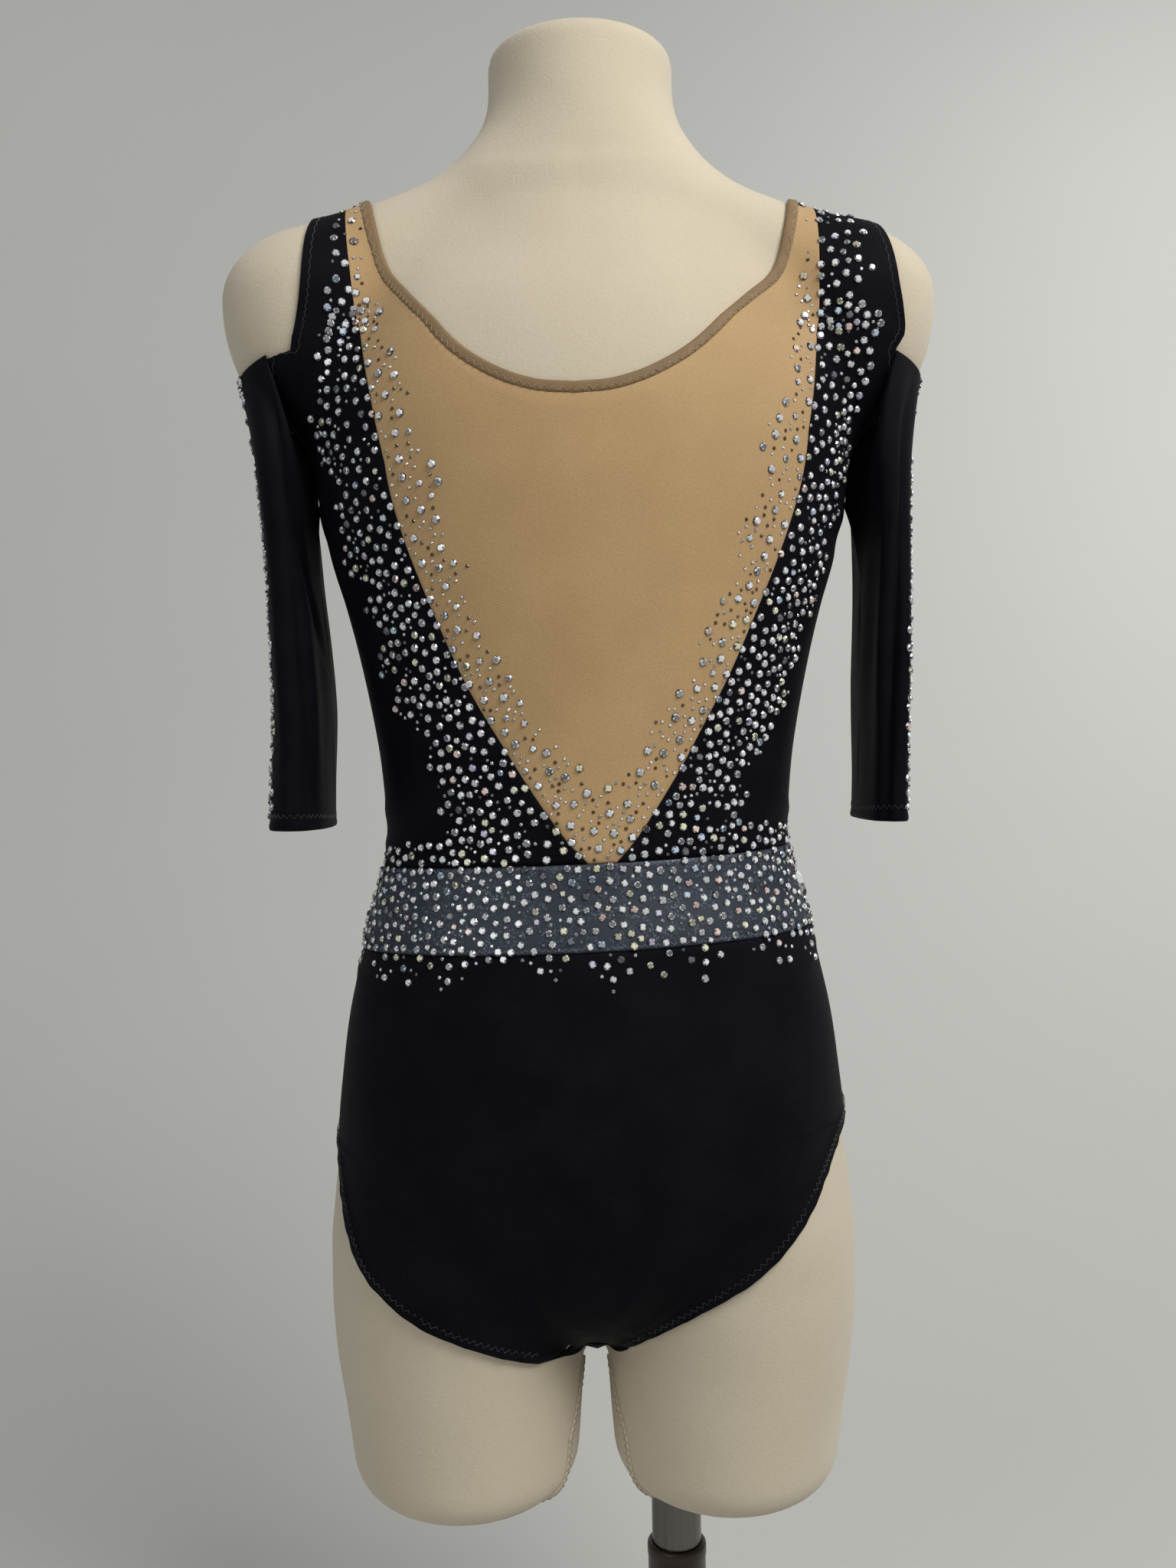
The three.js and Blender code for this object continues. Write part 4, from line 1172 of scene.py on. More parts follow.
print("belt:", round(belt_round, 3), "m round")

# %% [markdown]
# Neck binding
#
# The neckline is finished with a folded elastic binding, back and front. It is rounder than the
# cloth, because it is two layers over elastic, so its outside is a low arch across its width.

# %% Neck binding
BIND_STEPS = 9
BIND_CLEAR = CLEAR - 0.1


def binding_half(face):
    """Lines along the binding from its upper to its lower edge, behind or in front."""
    across_share = np.linspace(0, 1, BIND_STEPS + 1)
    return np.stack([neckline(face, share * BINDING_WIDE, SEAM_ROWS) for share in across_share])


back_lines = binding_half(BACK)
front_lines = binding_half(FRONT)[:, ::-1]
back_p, back_n = skin(BACK, back_lines[..., 0], back_lines[..., 1])
front_p, front_n = skin(FRONT, front_lines[..., 0], front_lines[..., 1])
place = np.concatenate([back_p, front_p[:, 1:-1]], axis=1)
normal = np.concatenate([back_n, front_n[:, 1:-1]], axis=1)
lengths = np.linalg.norm(np.diff(place[5], axis=0, prepend=place[5][:1]), axis=1).cumsum()
share = np.linspace(0, 1, BIND_STEPS + 1)[:, None]
arch = (1 - np.abs(2 * share - 1) ** 3.0) ** 0.6
drawn_in = 0.12 * np.sin(lengths / 1.9)[None, :] + 0.1 * np.sin(lengths / 5.3)[None, :]
bind_top = BIND_CLEAR + BINDING * (0.45 + 0.55 * arch) + drawn_in * arch
uv = np.stack(np.broadcast_arrays(lengths[None, :], share * BINDING_WIDE), -1) * MM
binding = wall("neck_tape_ring", place, normal, BIND_CLEAR, bind_top, uv, around=True)
dressed(binding, tape, "neck_binding")

# %% [markdown]
# Sleeves
#
# Each sleeve is a tube that hangs from the armhole seam and from the shoulder cap, with nothing
# in it, so it falls flat from side to side. One long trough starts at the seam behind the arm and
# drifts towards the body, with weaker ones beside it and in front.

# %% Sleeves
SLEEVE = {
    -1: table("up outer inner deep", [
        [293, 179.5, 147, 42], [350, 176.5, 145.5, 41], [400, 177, 148, 40], [440, 178, 152, 40],
        [473, 180.5, 154, 41], [505, 184, 152, 42], [545, 189, 150, 42],
    ]),
    1: table("up outer inner deep", [
        [293, 180, 157, 42], [350, 181.5, 158, 41], [400, 183, 159, 40], [440, 183, 160, 40],
        [473, 183.5, 159, 41], [505, 185.5, 154, 42], [545, 189, 150, 42],
    ]),
}
SLEEVE_HEM = 293
SLEEVE_LAP = 0.8
SLEEVE_PROUD = 2.2
RIM_DIP = 8
CORNER = math.radians(78)
SLEEVE_ROUND = 0.86
SLEEVE_SHIFT = -2
KEEP_DOWN = 55
DOWN_GROWTH = 1.15
HEM_BAND = 5
HEM_THICKER = 0.5
# Each row: turn at the top, turn at the hem, width, depth, and where it starts and ends, from 0 at
# the top to 1 at the hem. Turns are in degrees.
SLEEVE_FOLDS = {
    -1: [(107, -60, 7, -5.0, 0.02, 0.58), (92, 48, 7, -2.2, 0.40, 1.1), (132, 96, 8, 1.2, 0.15, 1.1),
         (28, 22, 9, -2.2, 0.2, 1.0), (262, 288, 8, -4.5, 0.05, 1.1), (300, 318, 7, 1.3, 0.2, 0.95),
         (236, 246, 8, 1.2, 0.3, 1.0)],
    1: [(120, 70, 7, -4.5, 0.0, 1.10), (78, 46, 6, 1.4, 0.08, 0.85), (140, 108, 8, 1.3, 0.25, 1.1),
        (34, 24, 9, -2.0, 0.25, 1.0), (258, 292, 7, -5.0, 0.03, 1.05), (302, 312, 8, 1.5, 0.15, 0.9),
        (230, 240, 7, 0.9, 0.35, 1.0)],
}


def sleeve_section(side, up, turn):
    """Points of a sleeve's section, a rounded box, for arrays of heights and turns."""
    outer = SLEEVE[side]["outer"](up)
    inner = SLEEVE[side]["inner"](up)
    c = np.cos(turn)
    s = np.sin(turn)
    x = (outer + inner) / 2 - np.sign(c) * np.abs(c) ** SLEEVE_ROUND * (outer - inner) / 2
    y = -np.sign(s) * np.abs(s) ** SLEEVE_ROUND * SLEEVE[side]["deep"](up) + SLEEVE_SHIFT
    return np.stack(np.broadcast_arrays(x, y, up), -1)


def sleeve_top(turn):
    """The upper edge: the armhole seam, then the rim that lies on the shoulder cap."""
    face = np.where(np.sin(turn) >= 0, BACK, FRONT)
    away = np.minimum(turn, TURN - turn)
    up = UNDERARM + (STRAP_END - UNDERARM) * np.sin(np.minimum(away / CORNER, 1) * math.pi / 2)
    seam_p, seam_n = skin(face, seam_across(up) + SLEEVE_LAP, up)
    proud = SLEEVE_PROUD * np.sqrt(np.clip(1 - away / CORNER, 0, 1))
    on_seam = seam_p + seam_n * (CLEAR + CLOTH / 2 + proud)[:, None]
    share = np.clip((away - CORNER) / (math.pi - CORNER), 0, 1)
    up = STRAP_END - RIM_DIP * np.sin(share * math.pi / 2)
    start = skin(face, seam_across(STRAP_END) + SLEEVE_LAP, np.full(turn.shape, float(STRAP_END)))[0]
    angle = np.arctan2(face * (start[:, 1] - CAP["y"]), start[:, 0] - CAP["x"]) * (1 - share)
    origin = np.stack([np.full(turn.shape, float(CAP["x"])), np.full(turn.shape, float(CAP["y"])), up], -1)
    direction = np.stack([np.cos(angle), face * np.abs(np.sin(angle)), np.zeros(turn.shape)], -1)
    rim_p = leave(origin, direction)
    on_rim = rim_p + normals(rim_p) * (CLEAR + CLOTH / 2)
    return np.where((away <= CORNER)[:, None], on_seam, on_rim)


def sleeve_grid(side, rows=110, columns=150):
    """Middle surface of a sleeve, with its outward directions and its folds."""
    turn = np.linspace(0, TURN, columns + 1)[:-1]
    high = sleeve_top(turn)
    t = spaced(rows, 0.004)[:, None]
    up = high[:, 2] + (SLEEVE_HEM - high[:, 2]) * t**DOWN_GROWTH
    keep = np.maximum(1 - (high[:, 2] - up) / KEEP_DOWN, 0) ** 2
    start = high - sleeve_section(side, high[:, 2], turn)
    place = sleeve_section(side, up, np.broadcast_to(turn, up.shape)) + keep[..., None] * start
    along = np.roll(place, -1, 1) - np.roll(place, 1, 1)
    down = np.gradient(place, axis=0)
    normal = np.cross(along, down)
    normal /= np.linalg.norm(normal, axis=-1, keepdims=True)
    if np.mean(normal[60, columns // 2, 0]) < 0:
        normal = -normal
    length = np.linalg.norm(along, axis=-1) / 2
    fold = np.zeros(up.shape)
    degrees = np.degrees(turn)[None, :]
    for top, low, width, depth, begin, end in SLEEVE_FOLDS[side]:
        centre = top + (low - top) * t + 4 * np.sin(t * 5 + top)
        aside = (degrees - centre + 180) % 360 - 180
        grown = np.clip((t - begin) / 0.18, 0, 1) * np.clip((end - t) / 0.2, 0, 1)
        fold += depth * grown * np.exp(-((aside / (width * 1.9)) ** 2))
    small = 0.5 * np.sin(degrees / 11 + 6 * t) * np.sin(9 * t + 1) * np.clip(t * 3, 0, 1)
    hem_band = np.clip((HEM_BAND - np.abs(up - SLEEVE_HEM)) / 1.2, 0, 1) * HEM_THICKER
    place = place + normal * (fold + small)[..., None]
    return place * (side, 1, 1), normal * (side, 1, 1), t, length, hem_band


def lay_sleeve(label, side):
    """A sleeve's wall, laid and dressed. Gives back its grid for what is sewn on it."""
    place, normal, t, length, hem_band = sleeve_grid(side)
    around = np.cumsum(length, axis=1)
    thick = CLOTH * rim_thin(place.shape[:2], sides=False)
    uv = np.stack([around, place[..., 2]], -1) * MM
    outside = thick - CLOTH / 2 + hem_band
    piece = wall(f"sleeve_{label}_cloth", place, normal, -CLOTH / 2, outside, uv, around=True)
    dressed(piece, black, f"sleeve_{label}")
    girth = float(np.linalg.norm(np.roll(place, -1, 1) - place, axis=-1).sum(1).mean()) * MM
    drop = float(np.linalg.norm(np.diff(place, axis=0), axis=-1).sum(0).mean()) * MM
    print(piece.name, "girth", round(girth, 3), "drop", round(drop, 3))
    return place, normal


sleeves = {side: lay_sleeve(label, side) for label, side in SIDES}

# %% [markdown]
# Geometry Nodes for what repeats
#
# Stones and stitches repeat hundreds of times. A tree of nodes puts one small shape on each point
# of a path or of a scatter, turned by the attributes that the point carries. A short class builds
# a tree and its named inputs.

# %% Tree helper


class Tree:
    """A Geometry Nodes tree with named inputs."""

    def __init__(self, name, inputs):
        self.tree = bpy.data.node_groups.new(name, "GeometryNodeTree")
        face = self.tree.interface
        face.new_socket("Geometry", in_out="INPUT", socket_type="NodeSocketGeometry")
        self.named = {}
        for label, kind in inputs:
            self.named[label] = face.new_socket(label, in_out="INPUT", socket_type=kind).identifier
        face.new_socket("Geometry", in_out="OUTPUT", socket_type="NodeSocketGeometry")
        self.given = self.tree.nodes.new("NodeGroupInput")

    def node(self, kind, settings=None, values=None):
        node = self.tree.nodes.new(kind)
        for key, value in (settings or {}).items():
            setattr(node, key, value)
        for key, value in (values or {}).items():
            if isinstance(value, bpy.types.NodeSocket):
                self.tree.links.new(value, node.inputs[key])
            else:
                node.inputs[key].default_value = value
        return node

    def attribute(self, name, kind="FLOAT"):
        return self.node("GeometryNodeInputNamedAttribute", {"data_type": kind}, {"Name": name}).outputs[0]

    def end(self, socket, material):
        """The tree's last nodes: real geometry, with a material."""
        real = self.node("GeometryNodeRealizeInstances", None, {"Geometry": socket}).outputs[0]
        values = {"Geometry": real, "Material": material}
        self.node("NodeGroupOutput", None, {0: self.node("GeometryNodeSetMaterial", None, values).outputs[0]})


def grown(name, source, tree, values):
    """Runs a tree on a piece, and makes the result its plain mesh."""
    modifier = source.modifiers.new(name, "NODES")
    modifier.node_group = tree.tree
    for label, value in values.items():
        modifier[tree.named[label]] = value
    applied(source)
    source.name = name
    source.data.name = name
    return source


def points_with(name, points, **attributes):
    """Loose points in metres, with named numbers, directions or colours on them."""
    mesh = bpy.data.meshes.new(name)
    mesh.from_pydata(np.asarray(points, float).tolist(), [], [])
    for key, value in attributes.items():
        value = np.asarray(value, float)
        kind, field_name = ("FLOAT_VECTOR", "vector") if value.ndim == 2 else ("FLOAT", "value")
        mesh.attributes.new(key, kind, "POINT").data.foreach_set(field_name, value.ravel())
    return link(name, mesh)


print("tree helpers ready")

# %% [markdown]
# One cut stone
#
# A flat-backed stone has an eight-sided table on top, eight main facets and eight small ones down
# to a thin girdle. That is only a few dozen faces, which matters because there are thousands.

# %% The stone
STONE_SIDES = 8
# Radius, height and turn of each ring of corners, as shares of the stone's width and of one side.
STONE_RINGS = [(0.5, 0.0, 0.0), (0.5, 0.07, 0.0), (0.43, 0.15, 0.0), (0.29, 0.30, 0.5)]
# Brightness of the painted reflection on the table, the main facets and the small facets. The girdle and the
# ring above it are painted dark, which reads as a dark rim.
TABLE_GLINT = 0.32
MAIN_GLINTS = [0.60, 0.12, 0.50, 0.0, 0.62, 0.25, 0.40, 0.05]
STAR_GLINTS = [0.35, 0.65, 0.05, 0.50, 0.15, 0.68, 0.05, 0.35]
GLINT_CHANCE = 0.45


def cut_stone():
    """One stone of unit width, with the brightness of a painted reflection on each face."""
    points = []
    for radius, height, shift in STONE_RINGS:
        turn = (np.arange(STONE_SIDES) + shift) * TURN / STONE_SIDES
        points += [(radius * math.cos(a), radius * math.sin(a), height) for a in turn]
    n = STONE_SIDES
    faces = [list(range(n))[::-1], list(range(3 * n, 4 * n))]
    glints = [0.0, TABLE_GLINT]
    for j in range(n):
        k = (j + 1) % n
        faces.append([j, k, n + k, n + j])
        faces.append([n + j, n + k, 2 * n + k, 2 * n + j])
        faces.append([2 * n + j, 2 * n + k, 3 * n + j])
        faces.append([2 * n + k, 3 * n + k, 3 * n + j])
        glints += [0.0, 0.0, MAIN_GLINTS[j], STAR_GLINTS[j]]
    mesh = bpy.data.meshes.new("cut_stone")
    mesh.from_pydata(points, [], faces)
    mesh.attributes.new("glint", "FLOAT", "FACE").data.foreach_set("value", glints)
    return link("cut_stone", mesh)


stone_shape = cut_stone()
print("one stone has", len(stone_shape.data.polygons), "faces")

# %% [markdown]
# The stones' tree
#
# Each point carries where its stone faces, how far it is spun and how wide it is. The tree puts the
# stone there, makes the copies real, and adds a little chance to the painted reflection on every facet.

# %% Stones' tree
stones_tree = Tree("glued stones", [("Stone", "NodeSocketObject"), ("Seed", "NodeSocketInt")])
shape = stones_tree.node("GeometryNodeObjectInfo", {"transform_space": "ORIGINAL"},
                         {"Object": stones_tree.given.outputs["Stone"]})
stand = stones_tree.node("FunctionNodeAlignRotationToVector", {"axis": "Z"},
                         {"Vector": stones_tree.attribute("stand", "FLOAT_VECTOR")})
spin = stones_tree.node("FunctionNodeAxisAngleToRotation", None,
                        {"Axis": (0, 0, 1), "Angle": stones_tree.attribute("spin")})
turned = stones_tree.node("FunctionNodeRotateRotation", {"rotation_space": "LOCAL"},
                          {"Rotation": stand.outputs[0], "Rotate By": spin.outputs[0]})
size = stones_tree.node("ShaderNodeCombineXYZ", None, {axis: stones_tree.attribute("size") for axis in "XYZ"})
placed = stones_tree.node("GeometryNodeInstanceOnPoints", None, {
    "Points": stones_tree.given.outputs["Geometry"], "Instance": shape.outputs["Geometry"],
    "Rotation": turned.outputs[0], "Scale": size.outputs[0],
})
loose = stones_tree.node("GeometryNodeRealizeInstances", None, {"Geometry": placed.outputs[0]})
chance = stones_tree.node("FunctionNodeRandomValue", {"data_type": "FLOAT"},
                          {"Seed": stones_tree.given.outputs["Seed"]})
# Each facet's painted reflection: its stored glint plus a little chance.
own = stones_tree.node("ShaderNodeMath", {"operation": "MULTIPLY_ADD"}, {
    0: chance.outputs[1], 1: GLINT_CHANCE, 2: stones_tree.attribute("glint"),
})
glints = stones_tree.node("GeometryNodeStoreNamedAttribute", {"data_type": "FLOAT", "domain": "FACE"}, {
    "Geometry": loose.outputs[0], "Name": "glint", "Value": own.outputs[0],
})
stones_tree.end(glints.outputs[0], glass.material)
print("the stones' tree has", len(stones_tree.tree.nodes), "nodes")

# %% [markdown]
# Where the stones are glued
#
# The maker glues big stones first, close together along the seam of the V, then fills in with
# middling and small ones, and lets the edge of the field break up. Throwing darts does the same:
# a spot is kept only if it is far enough from every stone already there, and the chance of a
# spot falls off towards the field's edge.

# %% Scattering stones
CLEAR_GLASS = (0.93, 0.95, 0.97)
TINTS = {
    "clear": CLEAR_GLASS, "straw": (0.97, 0.96, 0.72), "sky": (0.66, 0.80, 0.95), "lilac": (0.78, 0.72, 0.92),
    "rose": (0.97, 0.76, 0.70), "smoke": (0.20, 0.21, 0.24), "topaz": (0.14, 0.070, 0.025),
    "frost": (1.0, 0.97, 0.90),
}
SEED = 20240611
ASKEW = 0.05
rng = np.random.default_rng(SEED)


def scatter(limits, inside, sizes):
    """Spots (across, up, diameter) in a field, and a tint for each.

    Each of sizes is (diameter, gap, tries, tints), and inside gives the chance of a spot.
    """
    spots = np.empty((0, 3))
    tints = []
    for diameter, gap, tries, choice in sizes:
        across = rng.uniform(limits[0], limits[1], tries)
        up = rng.uniform(limits[2], limits[3], tries)
        keep = rng.uniform(0, 1, tries) < inside(across, up)
        wide = diameter * rng.uniform(0.94, 1.05, tries)
        names = list(choice)
        picked = rng.choice(len(names), tries, p=np.array(list(choice.values())) / sum(choice.values()))
        for i in np.flatnonzero(keep):
            if len(spots):
                far = np.hypot(spots[:, 0] - across[i], spots[:, 1] - up[i]) - (spots[:, 2] + wide[i]) / 2
                if far.min() < gap:
                    continue
            spots = np.concatenate([spots, [[across[i], up[i], wide[i]]]])
            tints.append(TINTS[names[picked[i]]])
    return spots, np.array(tints).reshape(-1, 3)


def glue(name, p, n, spots, tints, seed):
    """Stones at points of the cloth, each a little askew, as one piece."""
    count = len(spots)
    askew = n + rng.normal(0, ASKEW, (count, 3))
    askew /= np.linalg.norm(askew, axis=1, keepdims=True)
    source = points_with(name, raised(p), size=spots[:, 2] * MM, stand=askew, tint=tints,
                         spin=rng.uniform(0, TURN, count))
    piece = grown(name, source, stones_tree, {"Stone": stone_shape, "Seed": seed})
    dressed(piece, glass)
    print(name, count, "stones,", len(piece.data.polygons), "faces")
    return piece


# Shares of the tints among the stones of a field.
ON_BLACK = {"clear": 74, "straw": 9, "sky": 4, "lilac": 4, "rose": 4, "smoke": 5}
ON_NET = {"clear": 88, "straw": 6, "sky": 2, "rose": 4}
SMALL_BLACK = {"smoke": 45, "clear": 50, "lilac": 5}
SMALL_NET = {"frost": 50, "topaz": 50}
TINY_NET = {"frost": 82, "topaz": 18}
print(len(TINTS), "tints of glass")

# %% [markdown]
# Stones beside the V
#
# On the black the stones are thick at the seam and the band is wider lower down. On the net they
# are further apart, with tiny white and brown ones between. A field is a function that gives the
# chance of a stone at a place, read from how wide the band is at that height.

# %% Stones beside the V
BAND_BLACK = table("up wide", [
    [WAIST_TOP, 150], [284, 138], [292, 70], [305, 56], [340, 56], [390, 53], [430, 46], [475, 41],
    [510, 44], [545, 38], [600, 28], [RIDGE, 24],
])["wide"]
BAND_NET = table("up wide", [
    [WAIST_TOP, 46], [312, 42], [322, 30], [340, 26], [400, 24], [470, 23], [520, 19], [560, 14], [600, 10],
    [RIDGE, 7],
])["wide"]
SEAM_CLEAR = 0.4
NET_SEAM_CLEAR = 1.8
RAGGED_FROM = 300
STRAP_FROM = 520
STRAP_BARE = 11
EDGE_BARE = 3


def black_field(across, up):
    """Chance of a stone on the black, by its distance from the seam of the V."""
    out = np.abs(across) - v_seam(np.sign(across), up)
    ragged = 5 * np.sin(up / 11.0 + np.sign(across)) + 4 * np.sin(up / 4.3)
    share = out / (BAND_BLACK(up) + ragged * (up > RAGGED_FROM))
    strap_edge = bodice_edge(np.sign(across), np.maximum(up, STRAP_END + 1))
    room = np.minimum(strap_edge - EDGE_BARE, side_seam(up) - 1) - np.abs(across)
    on_piece = np.where(up > STRAP_FROM, room > STRAP_BARE, room > 0)
    return np.clip((1.04 - share) * 5, 0, 1) * (out > SEAM_CLEAR) * on_piece


def net_field(across, up):
    """Chance of a stone on the net, most of them close to the seam of the V."""
    into = v_seam(np.sign(across), up) - np.abs(across)
    neck = NECK_BACK(np.minimum(np.abs(across + NECK_LEAN(up)), NECK_END)) - BINDING_WIDE - 1.5
    share = into / (BAND_NET(up) + 3 * np.sin(up / 8.0 + 2 * np.sign(across)))
    return np.clip((1.08 - share) * 3, 0, 1) * (into > NET_SEAM_CLEAR) * (up < neck)


for label, side in SIDES:
    spots, tints = scatter((*sorted((side * 4, side * 172)), WAIST_TOP + 2, RIDGE - 2), black_field, [
        (4.7, 0.9, 5200, ON_BLACK), (4.0, 0.5, 1500, ON_BLACK), (2.1, 0.7, 2600, SMALL_BLACK),
    ])
    glue(f"stones_back_{label}", *on_cloth(BACK, spots), spots, tints, 11 + side)

spots, tints = scatter((-125, 125, WAIST_TOP + 2, RIDGE - 2), net_field, [
    (4.9, 3.6, 3200, ON_NET), (3.9, 2.8, 1400, ON_NET),
    (2.1, 1.2, 5200, SMALL_NET), (1.8, 1.0, 6000, TINY_NET),
])
glue("stones_net", *on_cloth(BACK, spots), spots, tints, 31)

# %% [markdown]
# Stones on the belt and below it
#
# The belt is covered all round, and its lower edge breaks into a short fringe of stones on the
# black. A place all round the body runs from twice the half way round on the left to twice on the
# right, and folds over to the front at the side seams.

# %% Stones round the belt
BELT_HALF = float(side_seam(250.0))


def glue_round(name, low_up, high_up, chance, sizes, top, seed):
    """Stones all round the body between two heights, back and front."""
    spots, tints = scatter((-2 * BELT_HALF, 2 * BELT_HALF, low_up, high_up), chance, sizes)
    behind = np.abs(spots[:, 0]) <= BELT_HALF
    across = np.where(behind, spots[:, 0], np.sign(spots[:, 0]) * (2 * BELT_HALF - np.abs(spots[:, 0])))
    face = np.where(behind, BACK, FRONT)
    across = across * side_seam(spots[:, 1]) / BELT_HALF
    p, n = skin(face, across, spots[:, 1])
    return glue(name, p + n * top, n, spots, tints, seed)


glue_round("stones_belt", WAIST_BOTTOM + 1, WAIST_TOP - 1, lambda a, u: np.ones(a.shape), [
    (4.6, 1.3, 5200, ON_BLACK), (3.8, 0.9, 2600, ON_BLACK), (2.1, 0.8, 2600, SMALL_BLACK),
], CLEAR + BELT_CLOTH + 0.4, 41)


def fringe(across, up):
    """Chance of a stone below the belt, by a ragged length."""
    long = 13 + 9 * np.sin(across / 9.7) * np.sin(across / 23.0 + 1) + 5 * np.sin(across / 4.1)
    return np.clip((long - (WAIST_BOTTOM - up)) / 7, 0, 1) * 0.8


glue_round("stones_fringe", WAIST_BOTTOM - 30, WAIST_BOTTOM - 1.5, fringe, [
    (4.4, 2.6, 1500, ON_BLACK), (2.2, 1.8, 1500, SMALL_BLACK),
], CLEAR + CLOTH, 51)


def above_belt(across, up):
    """Chance of a stone above the belt, in front only."""
    near = np.clip((WAIST_TOP + 15 - up) / 6, 0, 1)
    return near * (np.abs(across) > BELT_HALF) * 0.75


glue_round("stones_front", WAIST_TOP + 1.5, WAIST_TOP + 20, above_belt, [
    (4.4, 2.2, 1400, ON_BLACK), (2.2, 1.8, 1000, SMALL_BLACK),
], CLEAR + CLOTH, 61)

# %% [markdown]
# Stones down the sleeves
#
# Each sleeve carries a band of stones down its outer side, which the photograph shows edge on. The
# right one comes further round to the back lower down, and both are nearly bare for a stretch near
# the top. The places are read off the sleeve's own grid, so the stones follow its folds.

# %% Stones on the sleeves


def on_sleeve(side, degrees, t):
    """Point and direction on a sleeve's outside, for arrays of turn and of share down."""
    place, normal = sleeves[side]
    rows, columns = place.shape[:2]
    i = np.clip((t * (rows - 3) + 1).astype(int), 0, rows - 1)
    j = (degrees / 360 * columns).astype(int) % columns
    return place[i, j] + normal[i, j] * (CLOTH / 2), normal[i, j]


SLEEVE_GIRTH = 205.0
SLEEVE_DROP = 250.0
BARE_FROM = 0.09
BARE_TO = 0.26
SLEEVE_BAND = table("down left right", [
    [0, 24, 14], [0.10, 22, 12], [0.27, 24, 22], [0.45, 26, 26], [0.50, 26, 33], [0.62, 27, 39], [1, 27, 40],
])
FRONT_BAND = -15


def sleeve_field(label):
    """The chance of a stone on one sleeve, as a function of across and up."""

    def chance(across, up):
        down = 1 - up / SLEEVE_DROP
        wide = SLEEVE_BAND[label](down) + 2 * np.sin(up / 6)
        full = np.where((down > BARE_FROM) & (down < BARE_TO), 0.03, 1.0)
        if label == "right":
            full = np.where(down < BARE_FROM, 0.12, full)
        return np.clip((wide - across) / 4, 0, 1) * np.clip((across - FRONT_BAND) / 5, 0, 1) * full

    return chance


for label, side in SIDES:
    spots, tints = scatter((FRONT_BAND, 44, 4, SLEEVE_DROP - 3), sleeve_field(label), [
        (4.7, 1.0, 3000, ON_BLACK), (3.9, 0.7, 1200, ON_BLACK), (2.2, 0.9, 1400, SMALL_BLACK),
    ])
    degrees = 180 - spots[:, 0] / SLEEVE_GIRTH * 360
    p, n = on_sleeve(side, degrees, 1 - spots[:, 1] / SLEEVE_DROP)
    glue(f"stones_sleeve_{label}", p, n, spots, tints, 71 + side)

# %% [markdown]
# The long sewn-on stone
#
# At the right end of the belt, just behind the side seam, sits one long clear stone about 24 mm
# tall, cut to a point at both ends. Three rings of corners make its rim, its slope and its table.

# %% Long stone
LONG_TALL = 24.0
LONG_WIDE = 6.5
LONG_DEEP = 3.2
LONG_ACROSS = 146.0
LONG_UP = 251.0
LONG_SIDES = 14
LONG_CLEAR = 2.4
# Size and height of each ring, as shares of the stone's own.
LONG_RINGS = [(1.0, 0.0), (1.0, 0.25), (0.55, 1.0)]


def long_stone():
    """A long faceted stone that lies on the belt."""
    p, n = skin(BACK, np.array([LONG_ACROSS]), np.array([LONG_UP]))
    upward = np.array([0.0, 0.0, 1.0]) - n[0, 2] * n[0]
    upward /= np.linalg.norm(upward)
    side_way = np.cross(upward, n[0])
    points = []
    for scale, height in LONG_RINGS:
        for k in range(LONG_SIDES):
            a = TURN * k / LONG_SIDES
            tall = LONG_TALL / 2 * math.sin(a) * scale
            wide = LONG_WIDE / 2 * math.cos(a) * abs(math.cos(a)) ** 0.2 * scale
            points.append(p[0] + upward * tall + side_way * wide + n[0] * (LONG_CLEAR + LONG_DEEP * height))
    faces = []
    for ring in range(2):
        for k in range(LONG_SIDES):
            a = ring * LONG_SIDES + k
            b = ring * LONG_SIDES + (k + 1) % LONG_SIDES
            faces.append([a, b, b + LONG_SIDES])
            faces.append([a, b + LONG_SIDES, a + LONG_SIDES])
    for ring, flip in ((0, True), (2, False)):
        middle = len(points)
        points.append(np.mean(points[ring * LONG_SIDES:(ring + 1) * LONG_SIDES], axis=0))
        for k in range(LONG_SIDES):
            a = ring * LONG_SIDES + k
            b = ring * LONG_SIDES + (k + 1) % LONG_SIDES
            faces.append([middle, b, a] if flip else [middle, a, b])
    piece = solid("stone_long", raised(np.array(points)), np.array(faces), smooth=False)
    count = len(piece.data.polygons)
    # Painted reflections: each facet gets a middling brightness at random.
    glints_here = 0.25 + 0.5 * rng.uniform(0, 1, count)
    piece.data.attributes.new("glint", "FLOAT", "FACE").data.foreach_set("value", glints_here)
    tint_layer = piece.data.attributes.new("tint", "FLOAT_VECTOR", "POINT")
    tint_layer.data.foreach_set("vector", np.tile(CLEAR_GLASS, len(points)))
    return dressed(piece, glass)


print("long stone:", len(long_stone().data.polygons), "faces")

# %% [markdown]
# Zigzag thread
#
# Stretch cloth is sewn with a zigzag, because a straight stitch would snap. A tree moves every
# second point of a path to the other side and gives the line a thin round thickness.

